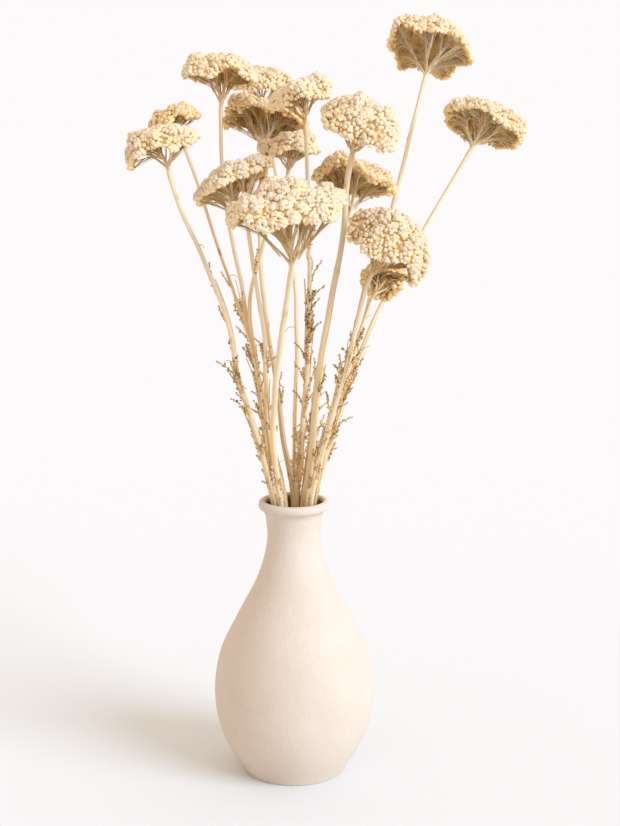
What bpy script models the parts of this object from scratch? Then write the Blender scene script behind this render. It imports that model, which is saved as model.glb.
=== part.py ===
"""A bottle vase of unglazed pottery that holds fifteen dried yarrow flowers.

Every flower is two objects: a straw coloured stem with its branches and leaf
shreds, and the cream head of florets that the branches carry. The model is in
metres with +Z up, and its origin is the centre of the vase's foot.
"""

import math
import random
import zlib

import bmesh
import bpy
import numpy as np
from mathutils import Vector
from mathutils.geometry import delaunay_2d_cdt

MM = 0.001
GAP = 0.3 * MM
WELD_DISTANCE = 0.01 * MM
TRIANGULATION_TOLERANCE = 1e-9

# Vase, with its outside as (level, radius) pairs in millimetres, from the foot to under the lip
VASE_HEIGHT = 220 * MM
FOOT_RADIUS = 39.5 * MM
NECK_LEVEL = 194 * MM
OUTLINE = (
    (1.6, 41.2),
    (27, 55.3),
    (67, 63.1),
    (97, 58.5),
    (128, 44.0),
    (161, 27.6),
    (194, 20.8),
    (205, 21.9),
)
OUTLINE_POINTS = 17
LIP_OUTLINE = ((209.5, 24.2), (212.5, 26.6))
LIP_RADIUS = 27.6 * MM
MOUTH_RADIUS = 21.8 * MM
WALL = 4.2 * MM
FLOOR_THICKNESS = 7 * MM
FLOOR_CORNER = 5 * MM
VASE_STEPS = 36

# Stems: a stem's place in the mouth, times these shares, is its place lower down
NECK_SHARE = 0.78
FLOOR_SHARE = 1.0
STEM_TIP_SHARE = 0.7
STEM_POINTS = 11
DEPTH_GROWTH = 1.15

# Heads: a crust of florets that swells in clusters, over tufts that taper down to the branches.
# A golden angle between neighbours spreads florets, clusters and tufts evenly over the disc.
GOLDEN_ANGLE = math.pi * (3 - math.sqrt(5))
FLORET_SPACING = 7.5 * MM
FLORETS_PER_SQUARE = 3.2
FLORET_RISE = 2.2 * MM
RIM_POINTS_PER_ROOT = 2.9
RIM_MARGIN = 0.4
OUTLINE_WAVES = ((2, 0.05), (3, 0.05), (5, 0.045))
CLUSTER_WIDTH = 4 * MM
FEWEST_CLUSTERS = 4
CLUSTER_SPREAD = 0.86
CLUSTER_OVERLAP = 1.25
CLUSTER_RISE = 3.2 * MM
EDGE_RADIUS = 4.0 * MM
EDGE_TURN = math.radians(140)
TUFT_WIDTH = 4.2 * MM
TUFT_SPREAD = 0.82
TUFT_CENTRING = 0.6
FEWEST_TUFTS = 5
TUFT_DEPTH_SHARE = 0.36
VALLEY_DEPTH_SHARE = 0.16
SLOPE_STEP = 0.5 * MM

# Branches and leaf shreds
BRANCH_RADIUS = 1.0 * MM
BRANCH_SHARES = (1.0, 0.85, 0.7)
BRANCH_BOW = 0.08
BRANCH_GAP = 1.6 * GAP
BRANCHING_LENGTH = 10 * MM
BRANCHING_END = 2 * MM
SHRED_RADIUS = 1.0 * MM
SHRED_TIP_RADIUS = 0.5 * MM
SHRED_LENGTHS = (13 * MM, 25 * MM)
SHRED_STEPS = 3
SHRED_SLANTS = (0.35, 0.75)
SHRED_FAN = 1.5
SHRED_CURL = 0.5
CURL_SIDEWAYS = 0.8
CURL_OUTWARD = 0.5
SHRED_CLEARANCE = 0.5 * MM
SHRED_TRIES = 30
BARB_PLACE = 0.5
BARB_LENGTH = 5 * MM
BARB_HEADING = (0.7, 0.8)
BARB_WIDTH_SHARE = 1.3
SAMPLE_STEP = 1.5 * MM

# Each flower: the node where its stem branches, the lean of its axis to the right and
# away from the viewer in degrees, the height of its crown above the node, the head's
# radius and droop, the stem's radius and place in the mouth, and the stem's bends as
# (x, z) pairs from the mouth up. Lengths are in millimetres.
FLOWERS = {
    "left_front": dict(node=(-91, -50, 483), lean=(-15, -7), crown=25.5, radius=26.5, droop=16,
                       stem=2.1, mouth=(-16, -5.8),
                       bends=((-30, 279), (-43, 326), (-48, 361), (-66, 411), (-84, 456))),
    "left_back": dict(node=(-85, 14, 498), lean=(-14, 4), crown=22, radius=18, droop=7,
                      stem=1.7, mouth=(-16.4, 4.4),
                      bends=((-24, 285), (-33, 341), (-43, 372), (-59, 420), (-76, 473))),
    "top_left": dict(node=(-56, 44, 527), lean=(2, 6), crown=30, radius=28, droop=15,
                     stem=2.1, mouth=(-10.6, 13.2),
                     bends=((-23, 290), (-35, 348), (-43, 397), (-51, 435), (-56, 493))),
    "left_mid": dict(node=(-35, -24, 444), lean=(-25, 12), crown=34, radius=30.5, droop=9,
                     stem=2.2, mouth=(-7, -5),
                     bends=((-17, 258), (-21, 308), (-22, 354), (-27, 384), (-31, 415))),
    "back_brown": dict(node=(-24, 72, 493), lean=(10, 28), crown=28, radius=35, droop=12,
                       stem=2.2, mouth=(-0.5, 8.8),
                       bends=((-8, 263), (-15, 316), (-23, 363), (-26, 398), (-27, 448))),
    "back_high": dict(node=(-28, 150, 525), lean=(2, -8), crown=22, radius=25, droop=9,
                      stem=1.9, mouth=(0, 17),
                      bends=((1, 292), (2, 340), (0, 380), (-8, 430), (-20, 485))),
    "front_big": dict(node=(1, -85, 416), lean=(-9, -14), crown=50, radius=42, droop=15,
                      stem=2.7, mouth=(-10.2, -13.6),
                      bends=((-15, 268), (-14, 307), (-10, 342), (-5, 379), (-1, 403))),
    "mid_small": dict(node=(-2, 38, 475), lean=(-8, 2), crown=27, radius=23, droop=12,
                      stem=1.8, mouth=(-7.5, 6.5),
                      bends=((-23, 285), (-31, 335), (-34, 374), (-26, 407), (-11, 453))),
    "upper_mid": dict(node=(9, 0, 515), lean=(-12, -6), crown=24, radius=25, droop=8,
                      stem=2.1, mouth=(2, 0.5),
                      bends=((6, 264), (10, 320), (12, 381), (12, 423), (10, 488))),
    "right_brown": dict(node=(45, 45, 444), lean=(8, 26), crown=36, radius=32.5, droop=9,
                        stem=2.3, mouth=(7.4, 5),
                        bends=((13, 265), (19, 319), (27, 363), (34, 401), (42, 430))),
    "right_high": dict(node=(44, -55, 494), lean=(22, -15), crown=31, radius=30, droop=17,
                       stem=2.6, mouth=(8, -5),
                       bends=((13, 250), (17, 302), (26, 367), (36, 423), (40, 473))),
    "right_curl": dict(node=(59, -68, 408), lean=(38, -3), crown=37, radius=33, droop=21,
                       stem=2.4, mouth=(12.8, -11.6),
                       bends=((27, 284), (40, 335), (47, 367), (54, 397))),
    "right_low": dict(node=(66, -20, 390), lean=(6, 58), crown=9, radius=16, droop=3,
                      stem=1.5, mouth=(16.8, -2.6),
                      bends=((32, 297), (45, 340), (53, 363), (60, 382))),
    "top_right": dict(node=(107, 110, 550), lean=(12, 30), crown=37, radius=34, droop=17,
                      stem=2.1, mouth=(9.6, 14),
                      bends=((25, 270), (46, 324), (64, 385), (80, 447), (92, 494))),
    "far_right": dict(node=(143, 60, 495), lean=(24, 26), crown=27, radius=31.5, droop=14,
                      stem=2.1, mouth=(16, 6),
                      bends=((32, 275), (50, 327), (70, 372), (98, 420), (122, 460))),
}

# Leaf shreds on a stem: how many, and the levels between which they grow, in millimetres
SHREDS = {
    "left_front": (5, 262, 400),
    "left_back": (2, 300, 380),
    "top_left": (2, 290, 360),
    "left_mid": (2, 330, 410),
    "front_big": (1, 250, 300),
    "upper_mid": (6, 290, 420),
    "right_high": (1, 270, 320),
    "right_curl": (3, 270, 350),
    "right_low": (3, 262, 345),
    "far_right": (3, 280, 350),
}

CERAMIC = (0.78, 0.69, 0.58, 1.0)
STRAW = (0.70, 0.54, 0.33, 1.0)
CREAM = (0.87, 0.76, 0.57, 1.0)


def clear_scene():
    """Remove whatever the scene holds."""
    for thing in list(bpy.data.objects):
        bpy.data.objects.remove(thing, do_unlink=True)


def make_collection(name):
    """Add a collection to the scene."""
    collection = bpy.data.collections.new(name)
    bpy.context.scene.collection.children.link(collection)
    return collection


def make_material(name, colour, roughness):
    """A plain Principled material."""
    material = bpy.data.materials.new(name)
    material.use_nodes = True
    shader = material.node_tree.nodes["Principled BSDF"]
    shader.inputs["Base Color"].default_value = colour
    shader.inputs["Roughness"].default_value = roughness
    shader.inputs["Metallic"].default_value = 0.0
    return material


def seeded(name):
    """A generator of random draws that depends only on the name."""
    return random.Random(zlib.crc32(name.encode()))


def cubic_through(knots, levels):
    """A smooth curve through (level, x, y) knots, read at the given levels.

    Each stretch is a cubic whose slope at a knot is the slope between the
    knot's two neighbours.
    """
    knots = np.array(knots, float)
    z = knots[:, 0]
    slopes = np.gradient(knots[:, 1:], z, axis=0)
    index = np.clip(np.searchsorted(z, levels) - 1, 0, len(z) - 2)
    span = z[index + 1] - z[index]
    t = ((levels - z[index]) / span)[:, None]
    span = span[:, None]
    start = knots[index, 1:]
    end = knots[index + 1, 1:]
    return (
        (2 * t**3 - 3 * t**2 + 1) * start
        + (t**3 - 2 * t**2 + t) * span * slopes[index]
        + (3 * t**2 - 2 * t**3) * end
        + (t**3 - t**2) * span * slopes[index + 1]
    )


def stem_knots(flower):
    """The (level, x, y) knots of a stem in metres, from its foot to its node."""
    mouth_x, mouth_y = flower["mouth"]
    node_x, node_y, node_z = flower["node"]
    mouth_z = VASE_HEIGHT / MM
    floor = (FLOOR_THICKNESS + GAP) / MM
    neck = NECK_LEVEL / MM
    knots = [
        (floor, FLOOR_SHARE * mouth_x, FLOOR_SHARE * mouth_y),
        (neck, NECK_SHARE * mouth_x, NECK_SHARE * mouth_y),
        (mouth_z, mouth_x, mouth_y),
    ]
    for x, z in flower["bends"]:
        rise = ((z - mouth_z) / (node_z - mouth_z)) ** DEPTH_GROWTH
        knots.append((z, x, mouth_y + (node_y - mouth_y) * rise))
    knots.append((node_z, node_x, node_y))
    return [(z * MM, x * MM, y * MM) for z, x, y in knots]


def stem_path(flower, levels):
    """Points on a stem's middle line at the given levels."""
    places = cubic_through(stem_knots(flower), levels)
    return np.column_stack([places, levels])


def stem_radius(flower, level):
    """A stem's radius, which tapers evenly from the mouth to the node."""
    node_z = flower["node"][2] * MM
    share = max(0.0, (level - VASE_HEIGHT) / (node_z - VASE_HEIGHT))
    return flower["stem"] * MM * (1 - (1 - STEM_TIP_SHARE) * share)


def head_frame(flower):
    """The head's axis and two directions across it."""
    side, back = (math.tan(math.radians(angle)) for angle in flower["lean"])
    axis = Vector((side, back, 1)).normalized()
    across = (Vector((1, 0, 0)) - axis * axis.x).normalized()
    return axis, across, axis.cross(across)


def vase_profile():
    """The turned outline: up the inside, round the lip and down the outside."""
    knots = [(level * MM, radius * MM, 0) for level, radius in OUTLINE]
    levels = np.linspace(knots[0][0], knots[-1][0], OUTLINE_POINTS)
    outer = list(zip(cubic_through(knots, levels)[:, 0], levels))
    inner = [(0.0, FLOOR_THICKNESS), (FOOT_RADIUS - FLOOR_CORNER, FLOOR_THICKNESS)]
    inner += [(radius - WALL, level) for radius, level in outer[2::2]]
    rounding = (LIP_RADIUS - MOUTH_RADIUS) / 2
    lip = []
    for angle in np.linspace(math.pi, 0, 5):
        radius = MOUTH_RADIUS + rounding * (1 + math.cos(angle))
        lip.append((radius, VASE_HEIGHT - rounding * (1 - math.sin(angle))))
    lip += [(radius * MM, level * MM) for level, radius in LIP_OUTLINE[::-1]]
    foot = [(FOOT_RADIUS, 0.0), (0.0, 0.0)]
    return inner + lip + outer[::-1] + foot


def make_vase(collection, material):
    """Turn the outline about the vase's axis."""
    outline = [(radius, 0.0, level) for radius, level in vase_profile()]
    mesh = bpy.data.meshes.new("vase")
    mesh.from_pydata(outline, [(i, i + 1) for i in range(len(outline) - 1)], [])
    vase = bpy.data.objects.new("vase", mesh)
    collection.objects.link(vase)
    screw = vase.modifiers.new("turn", "SCREW")
    screw.steps = VASE_STEPS
    screw.render_steps = VASE_STEPS
    screw.use_merge_vertices = True
    screw.merge_threshold = WELD_DISTANCE
    screw.use_smooth_shade = True
    mesh.materials.append(material)
    return vase


def tube_mesh(name, points, radii, resolution):
    """A closed tube along a list of points, with a radius at each."""
    curve = bpy.data.curves.new(name, "CURVE")
    curve.dimensions = "3D"
    curve.bevel_depth = 1.0
    curve.bevel_resolution = resolution
    curve.use_fill_caps = True
    spline = curve.splines.new("POLY")
    spline.points.add(len(points) - 1)
    for place, point, radius in zip(spline.points, points, radii):
        place.co = (*point, 1.0)
        place.radius = radius
    holder = bpy.data.objects.new(name, curve)
    bpy.context.scene.collection.objects.link(holder)
    bpy.context.view_layer.update()
    evaluated = holder.evaluated_get(bpy.context.evaluated_depsgraph_get())
    mesh = bpy.data.meshes.new_from_object(evaluated)
    bpy.data.objects.remove(holder, do_unlink=True)
    bpy.data.curves.remove(curve)
    shape = bmesh.new()
    shape.from_mesh(mesh)
    bmesh.ops.remove_doubles(shape, verts=shape.verts, dist=WELD_DISTANCE)
    bmesh.ops.recalc_face_normals(shape, faces=shape.faces)
    shape.to_mesh(mesh)
    shape.free()
    mesh.name = name
    return mesh


def add_object(name, mesh, collection):
    """Wrap a mesh in an object."""
    thing = bpy.data.objects.new(name, mesh)
    collection.objects.link(thing)
    return thing


def fuse(base, pieces):
    """Join the pieces to the base with one Boolean union, and drop them."""
    union = base.modifiers.new("fuse", "BOOLEAN")
    union.operation = "UNION"
    union.operand_type = "COLLECTION"
    union.collection = pieces
    union.solver = "EXACT"
    bpy.context.view_layer.update()
    evaluated = base.evaluated_get(bpy.context.evaluated_depsgraph_get())
    joined = bpy.data.meshes.new_from_object(evaluated)
    base.modifiers.clear()
    base.data = joined
    for piece in list(pieces.objects):
        bpy.data.objects.remove(piece, do_unlink=True)


def outline_share(name, angle):
    """How far out the head's uneven outline lies in a direction, about 1."""
    draws = seeded(name + " outline")
    share = 1.0
    for count, size in OUTLINE_WAVES:
        share += size * math.sin(count * angle + draws.uniform(0, math.tau))
    return share


def crust_profile(flower, distance):
    """The crust's radius and level at a distance from its crown, measured along a flat disc.

    A dome, level = minus droop times share squared, runs on into a round edge
    that curls under the head.
    """
    radius = flower["radius"] * MM
    droop = flower["droop"] * MM
    slope = math.atan(2 * droop / radius)
    dome = radius - EDGE_RADIUS * (1 - math.sin(slope))
    if distance <= dome:
        return distance, -droop * (distance / dome) ** 2
    turn = slope + (distance - dome) / EDGE_RADIUS
    middle = dome - EDGE_RADIUS * math.sin(slope)
    level = -droop - EDGE_RADIUS * math.cos(slope)
    return middle + EDGE_RADIUS * math.sin(turn), level + EDGE_RADIUS * math.cos(turn)


def crust_reach(flower):
    """The distance from the crown to the end of the curled edge, along a flat disc."""
    radius = flower["radius"] * MM
    slope = math.atan(2 * flower["droop"] * MM / radius)
    return radius - EDGE_RADIUS * (1 - math.sin(slope)) + EDGE_RADIUS * (EDGE_TURN - slope)


def cluster_swell(name, flower, x, y):
    """From 0 between the head's clusters to 1 at the middle of one."""
    radius = flower["radius"] * MM
    clusters = max(FEWEST_CLUSTERS, round(radius / CLUSTER_WIDTH))
    reach = CLUSTER_OVERLAP * radius / math.sqrt(clusters)
    turn = seeded(name + " clusters").uniform(0, math.tau)
    swell = 0.0
    for index in range(clusters):
        distance = CLUSTER_SPREAD * radius * math.sqrt((index + 0.5) / clusters)
        angle = index * GOLDEN_ANGLE + turn
        gap = math.hypot(x - distance * math.cos(angle), y - distance * math.sin(angle))
        swell = max(swell, 1 - (gap / reach) ** 2)
    return swell


def crust_point(name, flower, x, y):
    """The crust's surface in the head's own frame, for a place on a flat disc."""
    distance = math.hypot(x, y)
    angle = math.atan2(y, x)
    share = outline_share(name, angle)
    radius, level = crust_profile(flower, distance / share)
    level += CLUSTER_RISE * cluster_swell(name, flower, x, y)
    return Vector((radius * share * math.cos(angle), radius * share * math.sin(angle), level))


def crust_normal(name, flower, x, y):
    """The crust's outward direction: across its slopes along both directions of the disc."""
    step = SLOPE_STEP
    along_x = crust_point(name, flower, x + step, y) - crust_point(name, flower, x - step, y)
    along_y = crust_point(name, flower, x, y + step) - crust_point(name, flower, x, y - step)
    return along_x.cross(along_y).normalized()


def floret_places(name, flower):
    """Floret middles set out by the golden angle, with one ring of guide points outside them."""
    reach = crust_reach(flower)
    count = round(FLORETS_PER_SQUARE * (reach / FLORET_SPACING) ** 2)
    turn = seeded(name + " florets").uniform(0, math.tau)
    places = []
    for index in range(count):
        angle = index * GOLDEN_ANGLE + turn
        distance = (reach - 0.5 * FLORET_SPACING) * math.sqrt((index + 0.5) / count)
        distance *= outline_share(name, angle)
        places.append(Vector((distance * math.cos(angle), distance * math.sin(angle))))
    guides = []
    guide_count = round(RIM_POINTS_PER_ROOT * math.sqrt(count))
    for index in range(guide_count):
        angle = math.tau * index / guide_count
        distance = (reach + RIM_MARGIN * FLORET_SPACING) * outline_share(name, angle)
        guides.append(Vector((distance * math.cos(angle), distance * math.sin(angle))))
    return places, guides


def head_mesh(name, flower):
    """A crust of florets over a thin core.

    Every floret is a raised point with valleys round it, at the middles of the
    triangles between it and its neighbours.
    """
    axis, across, along = head_frame(flower)
    crown = Vector(flower["node"]) * MM + axis * flower["crown"] * MM
    places, guides = floret_places(name, flower)
    flat, _, triangles, _, _, _ = delaunay_2d_cdt(places + guides, [], [], 0, TRIANGULATION_TOLERANCE)
    shape = bmesh.new()

    def world(place):
        return crown + across * place.x + along * place.y + axis * place.z

    valleys = []
    flat_places = {}
    for corners in triangles:
        middle = sum((flat[corner] for corner in corners), Vector((0, 0))) / 3
        valley = shape.verts.new(world(crust_point(name, flower, middle.x, middle.y)))
        flat_places[valley] = middle
        valleys.append((middle, valley))
    around = {}
    for index, corners in enumerate(triangles):
        for corner in corners:
            around.setdefault(corner, []).append(index)

    def bearing(index):
        return math.atan2(valleys[index][0].y - here.y, valleys[index][0].x - here.x)

    for corner in range(len(places)):
        here = flat[corner]
        rise = crust_normal(name, flower, here.x, here.y) * FLORET_RISE
        tip = shape.verts.new(world(crust_point(name, flower, here.x, here.y) + rise))
        ring = sorted(around[corner], key=bearing)
        for first, second in zip(ring, ring[1:] + ring[:1]):
            shape.faces.new((tip, valleys[first][1], valleys[second][1]))
    loose = [vert for vert in shape.verts if not vert.link_faces]
    bmesh.ops.delete(shape, geom=loose, context="VERTS")
    close_underside(shape, flat_places, name, flower, world)
    bmesh.ops.recalc_face_normals(shape, faces=shape.faces)
    mesh = bpy.data.meshes.new("head_" + name)
    shape.to_mesh(mesh)
    shape.free()
    return mesh


def rim_loop(shape):
    """The crust's open edge, as vertices in order."""
    edges = [edge for edge in shape.edges if edge.is_boundary]
    start = edges[0].verts[0]
    loop = [start]
    edge = edges[0]
    while True:
        following = edge.other_vert(loop[-1])
        if following == start:
            return loop
        loop.append(following)
        edge = next(link for link in following.link_edges if link.is_boundary and link != edge)


def tuft_places(name, flower):
    """The middles of the tufts that make up a head, on its flat disc, one for each branch."""
    radius = flower["radius"] * MM
    count = max(FEWEST_TUFTS, round(radius / TUFT_WIDTH))
    turn = seeded(name + " tufts").uniform(0, math.tau)
    places = []
    for index in range(count):
        angle = index * GOLDEN_ANGLE + turn
        distance = TUFT_SPREAD * radius * math.sqrt((index + TUFT_CENTRING) / count)
        distance *= outline_share(name, angle)
        places.append(Vector((distance * math.cos(angle), distance * math.sin(angle))))
    return places


def below_crust(name, flower, place, depth):
    """A point under the crust, that deep on the way to the flower's node, in the head's own frame."""
    top = crust_point(name, flower, place.x, place.y)
    node = Vector((0, 0, -flower["crown"] * MM))
    return top + (node - top).normalized() * depth


def close_underside(shape, rim_places, name, flower, world):
    """Close the crust from below with tufts that taper down to their branches."""
    radius = flower["radius"] * MM
    rim = rim_loop(shape)
    tufts = tuft_places(name, flower)
    guide_count = len(tufts) + 2
    guides = []
    for index in range(guide_count):
        angle = math.tau * index / guide_count
        distance = radius * outline_share(name, angle)
        guides.append(Vector((distance * math.cos(angle), distance * math.sin(angle))))
    flat, _, triangles, _, _, _ = delaunay_2d_cdt(tufts + guides, [], [], 0, TRIANGULATION_TOLERANCE)
    valleys = [sum((flat[corner] for corner in corners), Vector((0, 0))) / 3 for corners in triangles]
    inner = [(place, TUFT_DEPTH_SHARE * radius) for place in tufts]
    inner += [(place, VALLEY_DEPTH_SHARE * radius) for place in valleys]
    verts = list(rim)
    for place, depth in inner:
        verts.append(shape.verts.new(world(below_crust(name, flower, place, depth))))
    places = [rim_places[vert] for vert in rim] + [place for place, _ in inner]
    outer = [list(range(len(rim)))]
    _, _, faces, origins, _, _ = delaunay_2d_cdt(places, [], outer, 1, TRIANGULATION_TOLERANCE)
    for corners in faces:
        shape.faces.new([verts[origins[corner][0]] for corner in corners])


def branch_meshes(name, flower):
    """Branches that leave the top of the stem in turn, each to the tip of a tuft."""
    axis, across, along = head_frame(flower)
    crown = (Vector(flower["node"]) + axis * flower["crown"]) * MM
    radius = flower["radius"] * MM
    node_level = flower["node"][2] * MM
    levels = np.array([node_level - BRANCHING_LENGTH, node_level - BRANCHING_END])
    low, high = (Vector(point) for point in stem_path(flower, levels))
    places = tuft_places(name, flower)
    meshes = []
    for index, place in enumerate(places):
        tuft = below_crust(name, flower, place, TUFT_DEPTH_SHARE * radius)
        tip = crown + across * tuft.x + along * tuft.y + axis * tuft.z
        root = high.lerp(low, index / len(places))
        tip += (root - tip).normalized() * BRANCH_GAP
        middle = root.lerp(tip, 0.5) + (across * place.x + along * place.y) * BRANCH_BOW
        radii = [BRANCH_RADIUS * share for share in BRANCH_SHARES]
        meshes.append(tube_mesh("branch", (root, middle, tip), radii, 0))
    return meshes


def stem_samples():
    """Points along every stem above the mouth, with the stem's radius at each."""
    samples = {}
    for name, flower in FLOWERS.items():
        levels = np.arange(VASE_HEIGHT, flower["node"][2] * MM, SAMPLE_STEP)
        radii = np.array([stem_radius(flower, level) for level in levels])
        samples[name] = np.column_stack([stem_path(flower, levels), radii])
    return samples


def is_clear(points, obstacles):
    """Whether every point lies clear of every (x, y, z, radius) obstacle."""
    points = np.array(points)
    gaps = np.linalg.norm(points[:, None, :] - obstacles[None, :, :3], axis=2) - obstacles[None, :, 3]
    return gaps.min() > SHRED_RADIUS + SHRED_CLEARANCE


def shred_points(flower, level, draws):
    """A curled rib that leaves the stem upward and outward, away from the bundle's middle."""
    root = Vector(stem_path(flower, np.array([level]))[0])
    outward = math.atan2(root.y, root.x) + draws.uniform(-SHRED_FAN, SHRED_FAN)
    length = draws.uniform(*SHRED_LENGTHS)
    slant = draws.uniform(*SHRED_SLANTS)
    curl = draws.uniform(-SHRED_CURL, SHRED_CURL)
    points = [root]
    place = root
    for step in range(SHRED_STEPS):
        bearing = outward + curl * step * CURL_SIDEWAYS
        tilt = slant + curl * step * CURL_OUTWARD
        level = math.cos(tilt)
        sideways = math.sin(tilt)
        heading = Vector((sideways * math.cos(bearing), sideways * math.sin(bearing), level))
        place = place + heading * length / SHRED_STEPS
        points.append(place)
    return points


def barb_points(points, side):
    """A short barb from the middle of the rib, with its tip to one side."""
    index = len(points) // 2 - 1
    along = (points[index + 1] - points[index]).normalized()
    across = along.cross(Vector((0, 0, 1))).normalized() * side
    start = points[index].lerp(points[index + 1], BARB_PLACE)
    heading = along * BARB_HEADING[0] + across * BARB_HEADING[1]
    return [start, start + heading.normalized() * BARB_LENGTH]


def shred_meshes(name, flower, obstacles):
    """Leaf shreds with a barb each, set where they clear the other flowers' stems and shreds."""
    meshes = []
    taken = []
    if name not in SHREDS:
        return meshes, taken
    count, low, high = SHREDS[name]
    draws = seeded(name + " shreds")
    for index in range(count):
        for _ in range(SHRED_TRIES):
            share = (index + draws.uniform(0.1, 0.9)) / count
            rib = shred_points(flower, (low + (high - low) * share) * MM, draws)
            barb = barb_points(rib, draws.choice((1, -1)))
            reach = rib + [barb[1], barb[0].lerp(barb[1], 0.5)]
            if is_clear(reach, obstacles):
                break
        else:
            continue
        radii = np.linspace(SHRED_RADIUS, SHRED_TIP_RADIUS, len(rib))
        meshes.append(tube_mesh("shred", rib, radii, 0))
        meshes.append(tube_mesh("barb", barb, (SHRED_TIP_RADIUS * BARB_WIDTH_SHARE, SHRED_TIP_RADIUS), 0))
        taken += [(*point, SHRED_RADIUS) for point in reach]
    return meshes, taken


def make_stem(name, flower, shreds, collection, material):
    """A tapered stem from the vase's floor to its node, with its branches and leaf shreds."""
    floor = FLOOR_THICKNESS + GAP
    top = flower["node"][2] * MM
    levels = np.concatenate([[floor], np.linspace(NECK_LEVEL, top, STEM_POINTS)])
    points = stem_path(flower, levels)
    radii = [stem_radius(flower, level) for level in levels]
    stem = add_object("stem_" + name, tube_mesh("stem_" + name, points, radii, 1), collection)
    pieces = make_collection("pieces")
    for mesh in branch_meshes(name, flower) + shreds:
        add_object("piece", mesh, pieces)
    fuse(stem, pieces)
    bpy.data.collections.remove(pieces)
    stem.data.materials.clear()
    stem.data.materials.append(material)
    return stem


def make_head(name, flower, collection, material):
    """The crust of florets."""
    mesh = head_mesh(name, flower)
    mesh.materials.append(material)
    return add_object("head_" + name, mesh, collection)


def main():
    clear_scene()
    collection = make_collection("vase_of_dried_yarrow")
    ceramic = make_material("bisque pottery", CERAMIC, 0.85)
    straw = make_material("dried stem", STRAW, 0.75)
    cream = make_material("dried florets", CREAM, 0.9)
    make_vase(collection, ceramic)
    samples = stem_samples()
    placed = []
    for name, flower in FLOWERS.items():
        others = [sample for other, sample in samples.items() if other != name]
        obstacles = np.concatenate(others + ([np.array(placed)] if placed else []))
        shreds, taken = shred_meshes(name, flower, obstacles)
        placed += taken
        make_stem(name, flower, shreds, collection, straw)
        make_head(name, flower, collection, cream)


main()
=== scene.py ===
"""The looks of a vase of dried yarrow, laid out as a Blender add-on.

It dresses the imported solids. The vase is turned again as a fine surface, every
stem becomes a ribbed stalk with its rays, pedicels and leaf remains, and every
head becomes a crust of small lobed florets. Lengths are in metres, +Z is up, and
the origin is the centre of the vase's foot.
"""

import math
import random
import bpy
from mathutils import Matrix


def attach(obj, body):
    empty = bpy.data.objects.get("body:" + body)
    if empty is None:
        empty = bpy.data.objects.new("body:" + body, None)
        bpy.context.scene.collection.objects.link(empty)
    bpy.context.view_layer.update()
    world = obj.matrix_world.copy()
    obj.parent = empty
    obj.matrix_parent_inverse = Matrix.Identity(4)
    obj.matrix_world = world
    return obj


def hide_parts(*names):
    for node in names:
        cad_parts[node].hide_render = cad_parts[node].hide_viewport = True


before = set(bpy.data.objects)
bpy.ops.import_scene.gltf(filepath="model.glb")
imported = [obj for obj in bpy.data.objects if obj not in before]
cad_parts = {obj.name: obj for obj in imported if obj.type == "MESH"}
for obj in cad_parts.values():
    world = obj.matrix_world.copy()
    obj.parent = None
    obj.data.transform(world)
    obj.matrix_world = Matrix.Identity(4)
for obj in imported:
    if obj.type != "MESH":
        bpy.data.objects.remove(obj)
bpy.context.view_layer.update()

import zlib

import bpy
import numpy as np
from bpy.props import FloatProperty, FloatVectorProperty, IntProperty, PointerProperty
from mathutils import Vector

bl_info = {
    "name": "Vase of dried yarrow",
    "version": (1, 0, 0),
    "blender": (4, 5, 0),
    "location": "3D View > Sidebar > Yarrow",
    "description": "Dresses the solids of a vase of dried yarrow with their fine surfaces and finishes",
    "category": "Object",
}

MM = 0.001
GAP = 0.3 * MM
GOLDEN_ANGLE = math.pi * (3 - math.sqrt(5))
LEAST_TURN = 0.01
TINY = 1e-6

# Vase, with its outside as (level, radius) pairs in millimetres, from the foot to under the lip
VASE_HEIGHT = 220 * MM
FOOT_RADIUS = 39.5 * MM
NECK_LEVEL = 194 * MM
OUTLINE = (
    (1.6, 41.2),
    (27, 55.3),
    (67, 63.1),
    (97, 58.5),
    (128, 44.0),
    (161, 27.6),
    (194, 20.8),
    (205, 21.9),
)
LIP_OUTLINE = ((208.6, 22.5), (211.4, 23.9))
LIP_RADIUS = 27.6 * MM
LIP_HALF_HEIGHT = 3.7 * MM
LIP_TURN = -0.42 * math.pi
LIP_RINGS = 26
MOUTH_RADIUS = 21.8 * MM
WALL = 4.2 * MM
# Below this level the inner wall is painted dark, fading in over the next height: painted shade in the mouth,
# where the crowded stems shadow it
INSIDE_SHADE_LEVEL = 219.4 * MM
INSIDE_SHADE_FADE = 3 * MM
FLOOR_THICKNESS = 7 * MM
FLOOR_CORNER = 5 * MM
FLOOR_DISH = 0.8 * MM
WALL_START = 2.2
WALL_END = 6 * MM
FOOT_RINGS = 5
BASE_RING = 0.6

# Stems: a stem's place in the mouth, times these shares, is its place lower down
NECK_SHARE = 0.78
FLOOR_SHARE = 1.0
STEM_TIP_SHARE = 0.7
DEPTH_GROWTH = 1.15

# Heads: a dome whose edge curls under, with clusters that swell it
OUTLINE_WAVES = ((2, 0.05), (3, 0.05), (5, 0.045))
CLUSTER_WIDTH = 4 * MM
FEWEST_CLUSTERS = 4
CLUSTER_SPREAD = 0.86
CLUSTER_OVERLAP = 1.25
CLUSTER_RISE = 3.6 * MM
CLUSTER_HEIGHTS = (0.4, 1.5)
EDGE_SCALLOP = 0.14
EDGE_SWELL = 0.3
EDGE_LIMIT = 1.1
EDGE_POWER = 3
EDGE_RADIUS = 4.0 * MM
DOME_POWER = 3.0
FLORET_TURN = math.radians(112)
BED_TURN = math.radians(92)
TUFT_WIDTH = 4.2 * MM
TUFT_SPREAD = 0.82
TUFT_CENTRING = 0.6
FEWEST_TUFTS = 5
TUFT_DEPTH_SHARE = 0.36
SLOPE_STEP = 0.5 * MM
BRANCH_BOW = 0.08
BRANCHING_LENGTH = 10 * MM
BRANCHING_END = 2 * MM

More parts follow.
